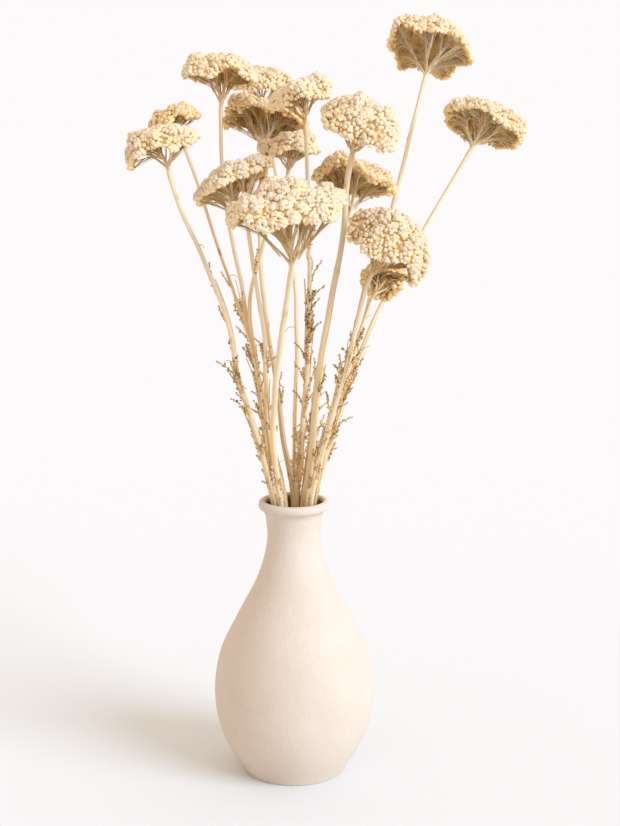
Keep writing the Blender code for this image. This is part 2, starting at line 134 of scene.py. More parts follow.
# Leaf shreds of the solids: where the seeded draws put them, as on the solids
SHRED_RADIUS = 1.0 * MM
SHRED_LENGTHS = (13 * MM, 25 * MM)
SHRED_STEPS = 3
SHRED_SLANTS = (0.35, 0.75)
SHRED_FAN = 1.5
SHRED_CURL = 0.5
CURL_SIDEWAYS = 0.8
CURL_OUTWARD = 0.5
SHRED_CLEARANCE = 0.5 * MM
SHRED_TRIES = 30
SHRED_PLACES = (0.1, 0.9)
BARB_PLACE = 0.5
BARB_LENGTH = 5 * MM
BARB_HEADING = (0.7, 0.8)
SAMPLE_STEP = 1.5 * MM

# Each flower: the node where its stem branches, the lean of its axis to the right and
# away from the viewer in degrees, the height of its crown above the node, the head's
# radius and droop, the stem's radius and place in the mouth, and the stem's bends as
# (x, z) pairs from the mouth up, in millimetres. Then come its looks: how far its florets
# have opened from 0 to 1; how brown the head is, partly its dried colour and partly painted
# shade on heads that lie in shade, with paler ones below 0 as painted light; and how much
# darker its underside is painted than most, as painted shade, with lighter ones below 0 as
# painted light. Some heads have backs, the share of the disc's radius beyond which florets
# show from behind, and mounds or hollows, with their place on the disc, their reach and
# their rise.
FLOWERS = {
    "left_front": dict(node=(-91, -50, 483), lean=(-15, -7), crown=25.5, radius=26.5, droop=16,
                       stem=2.1, mouth=(-16, -5.8), opened=0.35, browned_and_shaded=0.2, under=0.1,
                       bends=((-30, 279), (-43, 326), (-48, 361), (-66, 411), (-84, 456)),
                       mounds=((0, -24, 14, 6), (-24, -10, 12, -7), (4, 4, 26, -8), (-18, 8, 10, 2))),
    "left_back": dict(node=(-85, 14, 498), lean=(-16, 4), crown=20, radius=18, droop=7,
                      stem=1.7, mouth=(-16.4, 4.4), opened=0.35, browned_and_shaded=1.0, under=0.15,
                      bends=((-24, 285), (-33, 341), (-43, 372), (-59, 420), (-76, 473)),
                      mounds=((4, -14, 12, 4), (-2, 2, 12, -2))),
    "top_left": dict(node=(-56, 44, 527), lean=(2, 6), crown=30, radius=28, droop=15,
                     stem=2.1, mouth=(-10.6, 13.2), opened=0.45, browned_and_shaded=0.15, under=0.05,
                     bends=((-23, 290), (-35, 348), (-43, 397), (-51, 435), (-56, 493)),
                     mounds=((8, -28, 16, 8), (-22, 2, 18, 5), (-14, -22, 12, -3), (0, 2, 20, -7))),
    "left_mid": dict(node=(-35, -24, 444), lean=(-25, 12), crown=32.5, radius=30.5, droop=9,
                     stem=2.2, mouth=(-7, -5), opened=0.35, browned_and_shaded=-0.25, under=-0.2,
                     bends=((-17, 258), (-21, 308), (-22, 354), (-27, 384), (-31, 415)),
                     mounds=((-3, 2, 18, -5), (22, 4, 14, 3))),
    "back_brown": dict(node=(-24, 72, 493), lean=(10, 28), crown=28, radius=35, droop=12,
                       stem=2.2, mouth=(-0.5, 8.8), opened=0.4, browned_and_shaded=0.8, under=0.15,
                       bends=((-8, 263), (-15, 316), (-23, 363), (-26, 398), (-27, 448)),
                       backs=0.4,
                       mounds=((-28, -6, 22, 8), (28, -2, 20, -8), (-6, -26, 18, -6), (-20, 24, 24, 12))),
    "back_high": dict(node=(-28, 150, 525), lean=(2, -8), crown=22, radius=25, droop=9,
                      stem=1.9, mouth=(0, 17), opened=0.5, browned_and_shaded=0.3, under=0.2,
                      bends=((1, 292), (2, 340), (0, 380), (-8, 430), (-20, 485))),
    "front_big": dict(node=(1, -85, 416), lean=(-9, -14), crown=50, radius=42, droop=15,
                      stem=2.7, mouth=(-10.2, -13.6), opened=0.9, browned_and_shaded=0.0,
                      bends=((-15, 268), (-14, 307), (-10, 342), (-5, 379), (-1, 403)),
                      mounds=((-1, 4, 22, 3), (19, -8, 9, -4), (20, 4, 10, -8), (20, 16, 10, -8),
                              (19, 28, 10, -6), (-19, 0, 9, -5), (-19, 12, 10, -7), (-19, 26, 10, -8),
                              (-28, -28, 22, 12), (4, -40, 24, 6))),
    "mid_small": dict(node=(-2, 38, 475), lean=(-4.5, 2), crown=23.5, radius=23, droop=12,
                      stem=1.8, mouth=(-7.5, 6.5), opened=0.4, browned_and_shaded=0.2,
                      bends=((-23, 285), (-31, 335), (-34, 374), (-26, 407), (-11, 453)),
                      mounds=((0, -22, 18, 4), (-5, 2, 18, -8))),
    "upper_mid": dict(node=(9, 0, 515), lean=(-12, -6), crown=21.5, radius=25, droop=8,
                      stem=2.1, mouth=(2, 0.5), opened=0.5, browned_and_shaded=-0.1,
                      bends=((6, 264), (10, 320), (12, 381), (12, 423), (10, 488)),
                      mounds=((0, -24, 18, 4), (22, 0, 16, 4), (-4, 4, 14, -2))),
    "right_brown": dict(node=(45, 45, 444), lean=(7, 26), crown=34.5, radius=32.5, droop=9,
                        stem=2.3, mouth=(7.4, 5), opened=0.4, browned_and_shaded=0.6,
                        bends=((13, 265), (19, 319), (27, 363), (34, 401), (42, 430)),
                        backs=0.3, mounds=((12, -22, 28, -11), (30, 2, 18, -8))),
    "right_high": dict(node=(44, -55, 494), lean=(22, -15), crown=28.5, radius=30, droop=17,
                       stem=2.6, mouth=(8, -5), opened=0.25, browned_and_shaded=0.05,
                       bends=((13, 250), (17, 302), (26, 367), (36, 423), (40, 473)),
                       mounds=((-10, 0, 15, 2), (6, 0, 8, -3), (18, -2, 12, 2.5))),
    "right_curl": dict(node=(59, -68, 408), lean=(34.5, -3), crown=37, radius=33, droop=21,
                       stem=2.4, mouth=(12.8, -11.6), opened=0.3, browned_and_shaded=0.2, under=0.2,
                       bends=((27, 284), (40, 335), (47, 367), (54, 397)),
                       mounds=((-12, -28, 22, -8), (-30, -10, 16, -8), (28, -10, 24, -10))),
    "right_low": dict(node=(66, -20, 390), lean=(6, 58), crown=9, radius=16, droop=3,
                      stem=1.5, mouth=(16.8, -2.6), opened=0.3, browned_and_shaded=0.8, under=0.4,
                      bends=((32, 297), (45, 340), (53, 363), (60, 382)), backs=0.5),
    "top_right": dict(node=(107, 110, 550), lean=(12, 30), crown=35.5, radius=34, droop=17,
                      stem=2.1, mouth=(9.6, 14), opened=0.4, browned_and_shaded=0.1, under=-0.45,
                      bends=((25, 270), (46, 324), (64, 385), (80, 447), (92, 494)),
                      mounds=((28, -4, 22, -9), (14, 30, 14, -8), (-24, 26, 14, -6), (-22, -18, 12, 3))),
    "far_right": dict(node=(143, 60, 495), lean=(24, 26), crown=26, radius=31.5, droop=14,
                      stem=2.1, mouth=(16, 6), opened=0.4, browned_and_shaded=0.2, under=-0.3,
                      bends=((32, 275), (50, 327), (70, 372), (98, 420), (122, 460))),
}

# Leaf shreds on a stem: how many, and the levels between which they grow, in millimetres
SHREDS = {
    "left_front": (5, 262, 400),
    "left_back": (2, 300, 380),
    "top_left": (2, 290, 360),
    "left_mid": (2, 330, 410),
    "front_big": (1, 250, 300),
    "upper_mid": (6, 290, 420),
    "right_high": (1, 270, 320),
    "right_curl": (3, 270, 350),
    "right_low": (3, 262, 345),
    "far_right": (3, 280, 350),
}

# Smaller leaf remains that cling to the stems, in bands: the stem, the levels between which
# they grow, how many, their bearing about the stem and its spread in degrees, their shortest
# and longest rib, and how pale they are from 0 to 1. A bearing of 0 points right, and -90 to
# the viewer.
REMAINS = (
    ("left_front", 222, 258, 7, 200, 90, 5, 11, 0.4),
    ("left_front", 256, 325, 20, 190, 130, 8, 22, 0.2),
    ("left_back", 262, 385, 18, 180, 180, 8, 20, 0.2),
    ("left_back", 224, 262, 8, 200, 120, 6, 14, 0.4),
    ("top_left", 240, 352, 12, 200, 160, 8, 20, 0.3),
    ("mid_small", 250, 352, 10, 200, 150, 8, 18, 0.2),
    ("left_mid", 224, 335, 13, 220, 160, 8, 18, 0.4),
    ("back_brown", 226, 305, 8, 180, 180, 6, 16, 0.2),
    ("back_high", 225, 280, 5, 180, 180, 6, 14, 0.3),
    ("front_big", 220, 246, 10, -90, 80, 7, 15, 0.8),
    ("upper_mid", 318, 382, 24, 180, 180, 8, 20, 0.0),
    ("upper_mid", 285, 320, 10, 180, 180, 8, 18, 0.1),
    ("upper_mid", 221, 285, 22, 220, 180, 8, 20, 0.5),
    ("right_brown", 224, 320, 14, 180, 180, 8, 18, 0.4),
    ("right_high", 262, 292, 4, 10, 40, 10, 20, 0.3),
    ("right_high", 224, 262, 8, 0, 70, 8, 18, 0.4),
    ("right_curl", 305, 338, 11, 175, 60, 8, 16, 0.2),
    ("right_curl", 224, 300, 16, 180, 180, 8, 18, 0.4),
    ("right_low", 256, 345, 16, 0, 80, 8, 20, 0.1),
    ("far_right", 236, 320, 15, 0, 90, 8, 20, 0.2),
    ("top_right", 240, 330, 8, 180, 180, 6, 16, 0.3),
)

# Split leaf stalks that lie along the stems: the stem, the levels where they leave it and
# end, the bearing in degrees, how far the end stands off, and the radius in millimetres
STRANDS = (
    ("left_front", 222, 300, 170, 3.5, 0.9),
    ("left_front", 240, 395, 20, 2.5, 0.7),
    ("left_back", 222, 372, -60, 4.0, 0.9),
    ("left_back", 236, 330, 200, 5.0, 0.7),
    ("top_left", 222, 346, -90, 3.0, 1.0),
    ("top_left", 250, 388, 170, 3.5, 0.6),
    ("mid_small", 230, 372, 190, 3.5, 0.9),
    ("mid_small", 262, 340, -30, 4.5, 0.6),
    ("left_mid", 222, 318, -20, 4.0, 0.8),
    ("left_mid", 226, 286, -120, 2.5, 0.8),
    ("back_brown", 224, 352, -60, 3.0, 0.8),
    ("front_big", 221, 262, -150, 2.0, 0.9),
    ("upper_mid", 222, 392, 190, 2.5, 0.8),
    ("upper_mid", 232, 352, -30, 2.5, 0.7),
    ("right_brown", 222, 306, -70, 2.5, 0.9),
    ("right_high", 222, 330, 10, 2.0, 0.9),
    ("right_curl", 224, 332, 190, 3.0, 0.9),
    ("right_curl", 240, 352, -60, 2.5, 0.7),
    ("right_low", 226, 318, 20, 3.5, 0.8),
    ("far_right", 224, 332, 0, 3.0, 0.8),
)

# Bare curled ribs: their stem, level, bearing about the stem and slant from upright in
# degrees, length and turn in degrees. A bearing of 0 points right, and -90 to the viewer.
TENDRILS = (
    ("back_high", 343, 190, 10, 13, 165),
    ("upper_mid", 395, -20, 35, 19, -75),
    ("upper_mid", 405, -160, 50, 9, -70),
    ("upper_mid", 388, 170, 25, 8, -30),
    ("left_front", 330, 160, 40, 9, 70),
    ("left_back", 392, 20, 30, 8, 120),
    ("left_front", 282, 200, 55, 15, -60),
    ("left_front", 420, -20, 30, 7, 150),
    ("right_curl", 345, 175, 60, 9, -110),
    ("right_curl", 360, 150, 20, 12, -60),
    ("right_low", 362, -10, 30, 8, 40),
    ("far_right", 330, -20, 20, 12, 60),
    ("right_high", 300, -10, 30, 12, 20),
    ("front_big", 250, 10, 20, 11, 60),
)


def seeded(name):
    """A generator of random draws that depends only on the name, as the solids use it."""
    return random.Random(zlib.crc32(name.encode()))


def draws_for(name):
    """A generator of whole arrays of random draws that depends only on the name."""
    return np.random.default_rng(zlib.crc32(name.encode()))


def unit(vectors):
    """The vectors at length 1."""
    return vectors / np.linalg.norm(vectors, axis=-1, keepdims=True)


def ring_angles(sides):
    """Even bearings round a full turn."""
    return np.linspace(0, math.tau, sides, endpoint=False)


def bell(gap):
    """The bell exp(-gap^2)."""
    return np.exp(-(gap**2))


def turn_gap(angles):
    """Angles brought to between minus and plus half a turn."""
    return np.angle(np.exp(1j * angles))


def cubic_through(knots, levels):
    """A smooth curve through (level, x, y) knots, read at the given levels.

    Each stretch is a cubic whose slope at a knot is the slope between the
    knot's two neighbours.
    """
    knots = np.array(knots, float)
    z = knots[:, 0]
    slopes = np.gradient(knots[:, 1:], z, axis=0)
    index = np.clip(np.searchsorted(z, levels) - 1, 0, len(z) - 2)
    span = z[index + 1] - z[index]
    t = ((levels - z[index]) / span)[:, None]
    span = span[:, None]
    start = knots[index, 1:]
    end = knots[index + 1, 1:]
    return (
        (2 * t**3 - 3 * t**2 + 1) * start
        + (t**3 - 2 * t**2 + t) * span * slopes[index]
        + (3 * t**2 - 2 * t**3) * end
        + (t**3 - t**2) * span * slopes[index + 1]
    )


def on_curve(start, pull, end, t):
    """The point (1-t)^2 start + 2t(1-t) pull + t^2 end of a curve."""
    return (1 - t) ** 2 * start + 2 * t * (1 - t) * pull + t**2 * end


def bezier(starts, pulls, ends, shares):
    """Several such curves at once, each read at all the shares."""
    return on_curve(starts[:, None], pulls[:, None], ends[:, None], shares[None, :, None])


def arcs(starts, headings, axes, lengths, turns, rings):
    """Circular arcs: start + length/turn (sin(turn s) heading + (1 - cos(turn s)) axis x heading)."""
    s = np.linspace(0, 1, rings)[None, :]
    turn = np.where(np.abs(turns) < LEAST_TURN, LEAST_TURN, turns)[:, None]
    side = np.cross(axes, headings)
    forward = (lengths[:, None] / turn * np.sin(turn * s))[..., None]
    sideways = (lengths[:, None] / turn * (1 - np.cos(turn * s)))[..., None]
    return starts[:, None] + forward * headings[:, None] + sideways * side[:, None]


def surface(points, triangles, **marks):
    """A surface as arrays: points, triangles that index them, and marks with one value for each point."""
    return {"points": points, "triangles": triangles, "marks": marks}


def sheet_on(rings, sides):
    """Rings of points numbered in order, the next point round each ring, and the triangles between rings."""
    grid = np.arange(rings * sides).reshape(rings, sides)
    beside = np.roll(grid, -1, axis=1)
    sheet = np.stack([[grid[:-1], grid[1:], beside[1:]], [grid[:-1], beside[1:], beside[:-1]]])
    return grid, beside, np.moveaxis(sheet, 1, -1).reshape(-1, 3)


def fan_to(hub, ring, beside):
    """The triangles between one point and a ring."""
    return np.stack([np.full(len(ring), hub), ring, beside], -1)


def copies(triangles, count, size):
    """The triangles of one shape for each of its copies, which have that many points each."""
    return (triangles[None] + (np.arange(count) * size)[:, None, None]).reshape(-1, 3)


def joined(surfaces):
    """Several surfaces as one."""
    sizes = [len(part["points"]) for part in surfaces]
    offsets = np.concatenate([[0], np.cumsum(sizes)[:-1]])
    triangles = [part["triangles"] + offset for part, offset in zip(surfaces, offsets)]
    names = surfaces[0]["marks"].keys()
    marks = {name: np.concatenate([part["marks"][name] for part in surfaces]) for name in names}
    return surface(np.concatenate([part["points"] for part in surfaces]), np.concatenate(triangles), **marks)


def tubes(paths, radii, facing, sides, tone):
    """Closed tubes carried along several paths at once.

    Each ring is path + radius (cos a side + sin a up), where side is square to the
    path and to the tube's facing direction, and up is square to both. The marks are
    the tone of each ring, and the grain: (cos a, sin a, length along the tube).
    """
    count, rings, _ = paths.shape
    along = unit(np.gradient(paths, axis=1))
    side = unit(np.cross(along, facing[:, None, :]))
    up = np.cross(side, along)
    angles = ring_angles(sides)
    cosines = np.cos(angles)[None, None, :, None]
    sines = np.sin(angles)[None, None, :, None]
    if radii.ndim == 2:
        radii = radii[:, :, None]
    points = paths[:, :, None] + radii[..., None] * (side[:, :, None] * cosines + up[:, :, None] * sines)
    grid, _, sheet = sheet_on(rings, sides)
    middle = np.arange(1, sides - 1)
    one = np.concatenate([sheet, fan_to(0, middle, middle + 1), fan_to(0, middle + 1, middle) + grid[-1, 0]])
    steps = np.linalg.norm(np.diff(paths, axis=1), axis=2)
    lengths = np.concatenate([np.zeros((count, 1)), np.cumsum(steps, axis=1)], axis=1)
    shape = (count, rings, sides)
    grain = np.stack([
        np.broadcast_to(np.cos(angles), shape),
        np.broadcast_to(np.sin(angles), shape),
        np.broadcast_to(lengths[:, :, None], shape),
    ], axis=-1)
    tones = np.broadcast_to(np.asarray(tone)[..., None] if np.ndim(tone) == 2 else tone, shape)
    return surface(
        points.reshape(-1, 3), copies(one, count, rings * sides),
        tone=tones.reshape(-1), grain=grain.reshape(-1, 3),
    )


def make_piece(name, whole, material, nodes):
    """Put a surface into a mesh object that stands for its solids, at the origin."""
    points = whole["points"].astype(np.float32)
    triangles = whole["triangles"].astype(np.int32)
    mesh = bpy.data.meshes.new(name)
    mesh.vertices.add(len(points))
    mesh.vertices.foreach_set("co", points.ravel())
    mesh.loops.add(triangles.size)
    mesh.loops.foreach_set("vertex_index", triangles.ravel())
    mesh.polygons.add(len(triangles))
    mesh.polygons.foreach_set("loop_start", np.arange(0, triangles.size, 3, dtype=np.int32))
    mesh.update(calc_edges=True)
    mesh.shade_smooth()
    for mark, values in whole["marks"].items():
        values = np.asarray(values, np.float32)
        if values.ndim == 1:
            mesh.attributes.new(mark, "FLOAT", "POINT").data.foreach_set("value", values)
        else:
            mesh.attributes.new(mark, "FLOAT_VECTOR", "POINT").data.foreach_set("vector", values.ravel())
    mesh.materials.append(material)
    piece = bpy.data.objects.new(name, mesh)
    bpy.context.scene.collection.objects.link(piece)
    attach(piece, "root")
    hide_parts(*nodes)


# The vase


def vase_outline(steps):
    """The turned outline as (radius, level) rows: up the inside, round the lip and down the outside.

    The walls are smooth curves through the outline's points. The lip is an arc of an
    ellipse, middle + (rounding cos t, half height sin t), and the foot a quarter of one.
    """
    knots = [(level * MM, radius * MM, 0) for level, radius in OUTLINE]
    upper = [(level * MM, radius * MM, 0) for level, radius in LIP_OUTLINE]
    levels = np.linspace(knots[0][0], upper[-1][0], steps)
    outer = np.column_stack([cubic_through(knots + upper, levels)[:, 0], levels])
    rounding = (LIP_RADIUS - MOUTH_RADIUS) / 2
    turn = np.linspace(math.pi, LIP_TURN, LIP_RINGS)
    lip = np.column_stack([
        MOUTH_RADIUS + rounding * (1 + np.cos(turn)),
        VASE_HEIGHT - LIP_HALF_HEIGHT * (1 - np.sin(turn)),
    ])
    start = FLOOR_THICKNESS + WALL_START * FLOOR_CORNER
    inside_levels = np.linspace(start, NECK_LEVEL + WALL_END, steps // 3)
    inside = np.column_stack([cubic_through(knots, inside_levels)[:, 0] - WALL, inside_levels])
    corner = np.array([
        (0.0, FLOOR_THICKNESS),
        (FOOT_RADIUS - 2 * FLOOR_CORNER, FLOOR_THICKNESS),
        (FOOT_RADIUS - FLOOR_CORNER, FLOOR_THICKNESS + FLOOR_DISH),
        (FOOT_RADIUS, FLOOR_THICKNESS + FLOOR_CORNER),
    ])
    foot_turn = np.linspace(0, 0.5 * math.pi, FOOT_RINGS)[1:]
    foot = np.column_stack([
        FOOT_RADIUS + (outer[0, 0] - FOOT_RADIUS) * np.cos(foot_turn),
        outer[0, 1] * (1 - np.sin(foot_turn)),
    ])
    base = np.array([(BASE_RING * FOOT_RADIUS, 0.0), (0.0, 0.0)])
    return np.concatenate([corner, inside, lip, outer[::-1], foot, base])


def lip_row(outline):
    """The row of the outline where it is highest, with the inside before it."""
    return int(np.argmax(outline[:, 1]))


def turned(outline, segments, wobble):
    """An outline turned about Z, closed at both poles, with a slow swell in its radius.

    The radius is r (1 + wobble (sin(2a + 9z) + 0.5 sin(3a - 14z))), with z the share of
    the height.
    """
    angles = ring_angles(segments)
    body = outline[1:-1]
    share = body[:, 1:] / VASE_HEIGHT
    swell = 1 + wobble * (np.sin(2 * angles + 9 * share) + 0.5 * np.sin(3 * angles - 14 * share))
    radius = body[:, :1] * swell
    level = np.repeat(body[:, 1:], segments, 1)
    ring = np.stack([radius * np.cos(angles), radius * np.sin(angles), level], -1)
    grid, beside, sheet = sheet_on(len(body), segments)
    poles = np.array([(0, 0, outline[0, 1]), (0, 0, outline[-1, 1])])
    points = np.concatenate([ring.reshape(-1, 3), poles])
    caps = [fan_to(grid.size, grid[0], beside[0]), fan_to(grid.size + 1, beside[-1], grid[-1])]
    # The inside mark: where the inner wall is painted dark, as painted shade under the mouth
    inner = np.arange(len(outline)) < lip_row(outline)
    depth = inner * np.clip((INSIDE_SHADE_LEVEL - outline[:, 1]) / INSIDE_SHADE_FADE, 0, 1)
    inside = np.concatenate([np.repeat(depth[1:-1], segments), depth[:1], depth[-1:]])
    return surface(points, np.concatenate([sheet, *caps]), inside=inside)


# Stems and leaf remains


def stem_knots(flower):
    """The (level, x, y) knots of a stem in metres, from its foot to its node."""
    mouth_x, mouth_y = flower["mouth"]
    node_x, node_y, node_z = flower["node"]
    mouth_z = VASE_HEIGHT / MM
    floor = (FLOOR_THICKNESS + GAP) / MM
    neck = NECK_LEVEL / MM
    knots = [
        (floor, FLOOR_SHARE * mouth_x, FLOOR_SHARE * mouth_y),
        (neck, NECK_SHARE * mouth_x, NECK_SHARE * mouth_y),
        (mouth_z, mouth_x, mouth_y),
    ]
    for x, z in flower["bends"]:
        rise = ((z - mouth_z) / (node_z - mouth_z)) ** DEPTH_GROWTH
        knots.append((z, x, mouth_y + (node_y - mouth_y) * rise))
    knots.append((node_z, node_x, node_y))
    return [(z * MM, x * MM, y * MM) for z, x, y in knots]


def stem_path(flower, levels):
    """Points on a stem's middle line at the given levels."""
    places = cubic_through(stem_knots(flower), levels)
    return np.column_stack([places, levels])


def stem_radius(flower, levels):
    """A stem's radius, which tapers evenly from the mouth to the node."""
    node_z = flower["node"][2] * MM
    share = np.maximum(0.0, (levels - VASE_HEIGHT) / (node_z - VASE_HEIGHT))
    return flower["stem"] * MM * (1 - (1 - STEM_TIP_SHARE) * share)


def stem_samples():
    """Points along every stem above the mouth, with the stem's radius at each."""
    samples = {}
    for name, flower in FLOWERS.items():
        levels = np.arange(VASE_HEIGHT, flower["node"][2] * MM, SAMPLE_STEP)
        samples[name] = np.column_stack([stem_path(flower, levels), stem_radius(flower, levels)])
    return samples


def is_clear(points, obstacles):
    """Whether every point lies clear of every (x, y, z, radius) obstacle."""
    points = np.array(points)
    gaps = np.linalg.norm(points[:, None, :] - obstacles[None, :, :3], axis=2) - obstacles[None, :, 3]
    return gaps.min() > SHRED_RADIUS + SHRED_CLEARANCE


def shred_points(flower, level, draws):
    """A curled rib that leaves the stem upward and outward, away from the bundle's middle."""
    root = Vector(stem_path(flower, np.array([level]))[0])
    outward = math.atan2(root.y, root.x) + draws.uniform(-SHRED_FAN, SHRED_FAN)
    length = draws.uniform(*SHRED_LENGTHS)
    slant = draws.uniform(*SHRED_SLANTS)
    curl = draws.uniform(-SHRED_CURL, SHRED_CURL)
    points = [root]
    place = root
    for step in range(SHRED_STEPS):
        bearing = outward + curl * step * CURL_SIDEWAYS
        tilt = slant + curl * step * CURL_OUTWARD
        level = math.cos(tilt)
        sideways = math.sin(tilt)
        heading = Vector((sideways * math.cos(bearing), sideways * math.sin(bearing), level))
        place = place + heading * length / SHRED_STEPS
        points.append(place)
    return points


def barb_points(points, side):
    """A short barb from the middle of the rib, with its tip to one side."""
    index = len(points) // 2 - 1
    along = (points[index + 1] - points[index]).normalized()
    across = along.cross(Vector((0, 0, 1))).normalized() * side
    start = points[index].lerp(points[index + 1], BARB_PLACE)
    heading = along * BARB_HEADING[0] + across * BARB_HEADING[1]
    return [start, start + heading.normalized() * BARB_LENGTH]


def shred_ribs():
    """The ribs of the solids' leaf shreds on each stem, found by the same seeded draws."""
    samples = stem_samples()
    placed = []
    ribs = {name: [] for name in FLOWERS}
    for name, flower in FLOWERS.items():
        others = [sample for other, sample in samples.items() if other != name]
        obstacles = np.concatenate(others + ([np.array(placed)] if placed else []))
        if name not in SHREDS:
            continue
        count, low, high = SHREDS[name]
        draws = seeded(name + " shreds")
        for index in range(count):
            for _ in range(SHRED_TRIES):
                share = (index + draws.uniform(*SHRED_PLACES)) / count
                rib = shred_points(flower, (low + (high - low) * share) * MM, draws)
                barb = barb_points(rib, draws.choice((1, -1)))
                reach = rib + [barb[1], barb[0].lerp(barb[1], 0.5)]
                if is_clear(reach, obstacles):
                    break
            else:
                continue
            placed += [(*point, SHRED_RADIUS) for point in reach]
            ribs[name].append(np.array([tuple(point) for point in rib]))
    return ribs


# Fine stems. Depths and rises are shares of the stem's radius, bearings are in radians
# and waves in radians for each metre of height.
AWAY = np.array([[0.0, 1.0, 0.0]])
STEM_SIDES = 16
STEM_RING_STEP = 2.4 * MM
HIDDEN_RINGS = 9
STEM_FLUTES = 8
FLUTE_DEPTH = 0.045
FLUTE_MIDDLE = 0.6
GROOVE_DEPTH = 0.28
GROOVE_WIDTH = 0.34
GROOVE_SWING = 0.9
GROOVE_WAVE = 14
GROOVE_PATCHES = 31
OVAL_DEPTH = 0.05
OVAL_WAVE = 9
JOINT_SPACING = (34 * MM, 70 * MM)
MOST_JOINTS = 12
TOP_JOINT_GAP = 25 * MM
JOINT_WIDTH = 2.0 * MM
JOINT_SWELL = 0.07
SCAR_WIDTH = 0.7
SCAR_RISE = 0.12
STEM_WANDER = 0.21 * MM
WANDER_LENGTHS = (11 * MM, 6.3 * MM)
SHORT_WANDER = 0.7
LAST_RING_GAP = 0.4 * MM
NODE_FLARE = 0.2
NODE_FLARE_LENGTH = 16 * MM
NODE_TIP_SHARE = 0.5

# Tones along a stem, from 0 for pale straw to 1 for brown
STEM_TONE = 0.08
OLD_TONE = 0.12
OLD_LENGTH = 130 * MM
NODE_TONE = 0.25
# The grooves are darkened in step with their depth: painted shade in them
GROOVE_SHADE_TONE = 3.0
SCAR_TONE = 0.75


def joint_levels(name, flower):
    """The levels of the joints where leaves once grew."""
    draws = draws_for(name + " joints")
    levels = VASE_HEIGHT + np.cumsum(draws.uniform(*JOINT_SPACING, MOST_JOINTS)) - 0.5 * JOINT_SPACING[0]
    return levels[levels < flower["node"][2] * MM - TOP_JOINT_GAP]


def stem_line(name, flower, levels):
    """The stem's middle line with a slight wander: sines of the level that fade at both ends."""
    draws = draws_for(name + " wander")
    top = flower["node"][2] * MM
    share = np.clip((levels - VASE_HEIGHT) / (top - VASE_HEIGHT), 0, 1)
    fade = np.sin(math.pi * share)
    path = stem_path(flower, levels)
    long, short = WANDER_LENGTHS
    for axis in (0, 1):
        phase = draws.uniform(0, math.tau, 2)
        wave = np.sin(levels / long + phase[0]) + SHORT_WANDER * np.sin(levels / short + phase[1])
        path[:, axis] += STEM_WANDER * fade * wave
    return path


def stem_surface(name, flower):
    """A fluted stem with a leaf scar at each joint and a flare under the head.

    Its radius is the taper times 1 + flutes cos(8a) - groove + oval cos(2a) + scars,
    times a small bell at each joint, times a flare that rises to the first ray and
    then falls away. A groove or scar is a bell about its own bearing.
    """
    draws = draws_for(name + " stem")
    floor = FLOOR_THICKNESS + GAP
    top = flower["node"][2] * MM
    hidden = np.linspace(floor, NECK_LEVEL, HIDDEN_RINGS)[:-1]
    shown = np.arange(NECK_LEVEL, top - 2 * LAST_RING_GAP, STEM_RING_STEP)
    levels = np.concatenate([hidden, shown, [top - LAST_RING_GAP, top]])
    joints = joint_levels(name, flower)
    scars = draws.uniform(0, math.tau, len(joints))
    bells = bell((levels[:, None] - joints[None, :]) / JOINT_WIDTH)
    flare = np.clip(1 - np.abs(levels - (top - BRANCHING_LENGTH)) / NODE_FLARE_LENGTH, 0, 1)
    ending = np.clip((levels - (top - BRANCHING_LENGTH)) / BRANCHING_LENGTH, 0, 1)
    radius = stem_radius(flower, levels) * (1 + JOINT_SWELL * bells.sum(1)) * (1 + NODE_FLARE * flare)
    radius = radius * (1 - (1 - NODE_TIP_SHARE) * ending)
    angles = ring_angles(STEM_SIDES)
    phase = draws.uniform(0, math.tau, 4)
    height = levels[:, None]
    flutes = FLUTE_DEPTH * (np.cos(STEM_FLUTES * angles + phase[0]) - FLUTE_MIDDLE)
    twist = GROOVE_SWING * np.sin(height * GROOVE_WAVE + phase[3])
    patch = 0.5 + 0.5 * np.sin(height * GROOVE_PATCHES + phase[2])
    groove = GROOVE_DEPTH * patch * bell(turn_gap(angles - phase[1] - twist) / GROOVE_WIDTH)
    oval = OVAL_DEPTH * np.cos(2 * angles + phase[2] + height * OVAL_WAVE)
    scar = (bells[:, None, :] * bell(turn_gap(angles[:, None] - scars) / SCAR_WIDTH)).sum(2)
    radii = radius[:, None] * (1 + flutes - groove + oval + SCAR_RISE * scar)
    ages = np.clip(1 - (levels - VASE_HEIGHT) / OLD_LENGTH, 0, 1)
    along = STEM_TONE + OLD_TONE * ages + NODE_TONE * ending
    tone = along[:, None] + GROOVE_SHADE_TONE * groove + SCAR_TONE * scar
    path = stem_line(name, flower, levels)
    part = tubes(path[None], radii[None], AWAY, STEM_SIDES, 0.0)
    part["marks"]["tone"] = tone.reshape(-1)
    return part


def compass(bearing):
    """Level directions for bearings in degrees."""
    turn = np.radians(bearing)
    return np.column_stack([np.cos(turn), np.sin(turn), np.zeros_like(turn)])


# Leaf stalks along the stems: the swing of their bearing in degrees, how far into the
# stem they sit as a share of its radius, their ripple in millimetres, and their tone
# as its least, its spread and its growth along the stalk
STRAND_RINGS = 22
STRAND_SIDES = 6
STRAND_SWING = 35
STRAND_SUNK = 0.85
STRAND_RIPPLE = 0.3
STRAND_TAPER = 0.45
STRAND_KNOTS = 0.12
STRAND_TONES = (0.05, 0.35, 0.2)


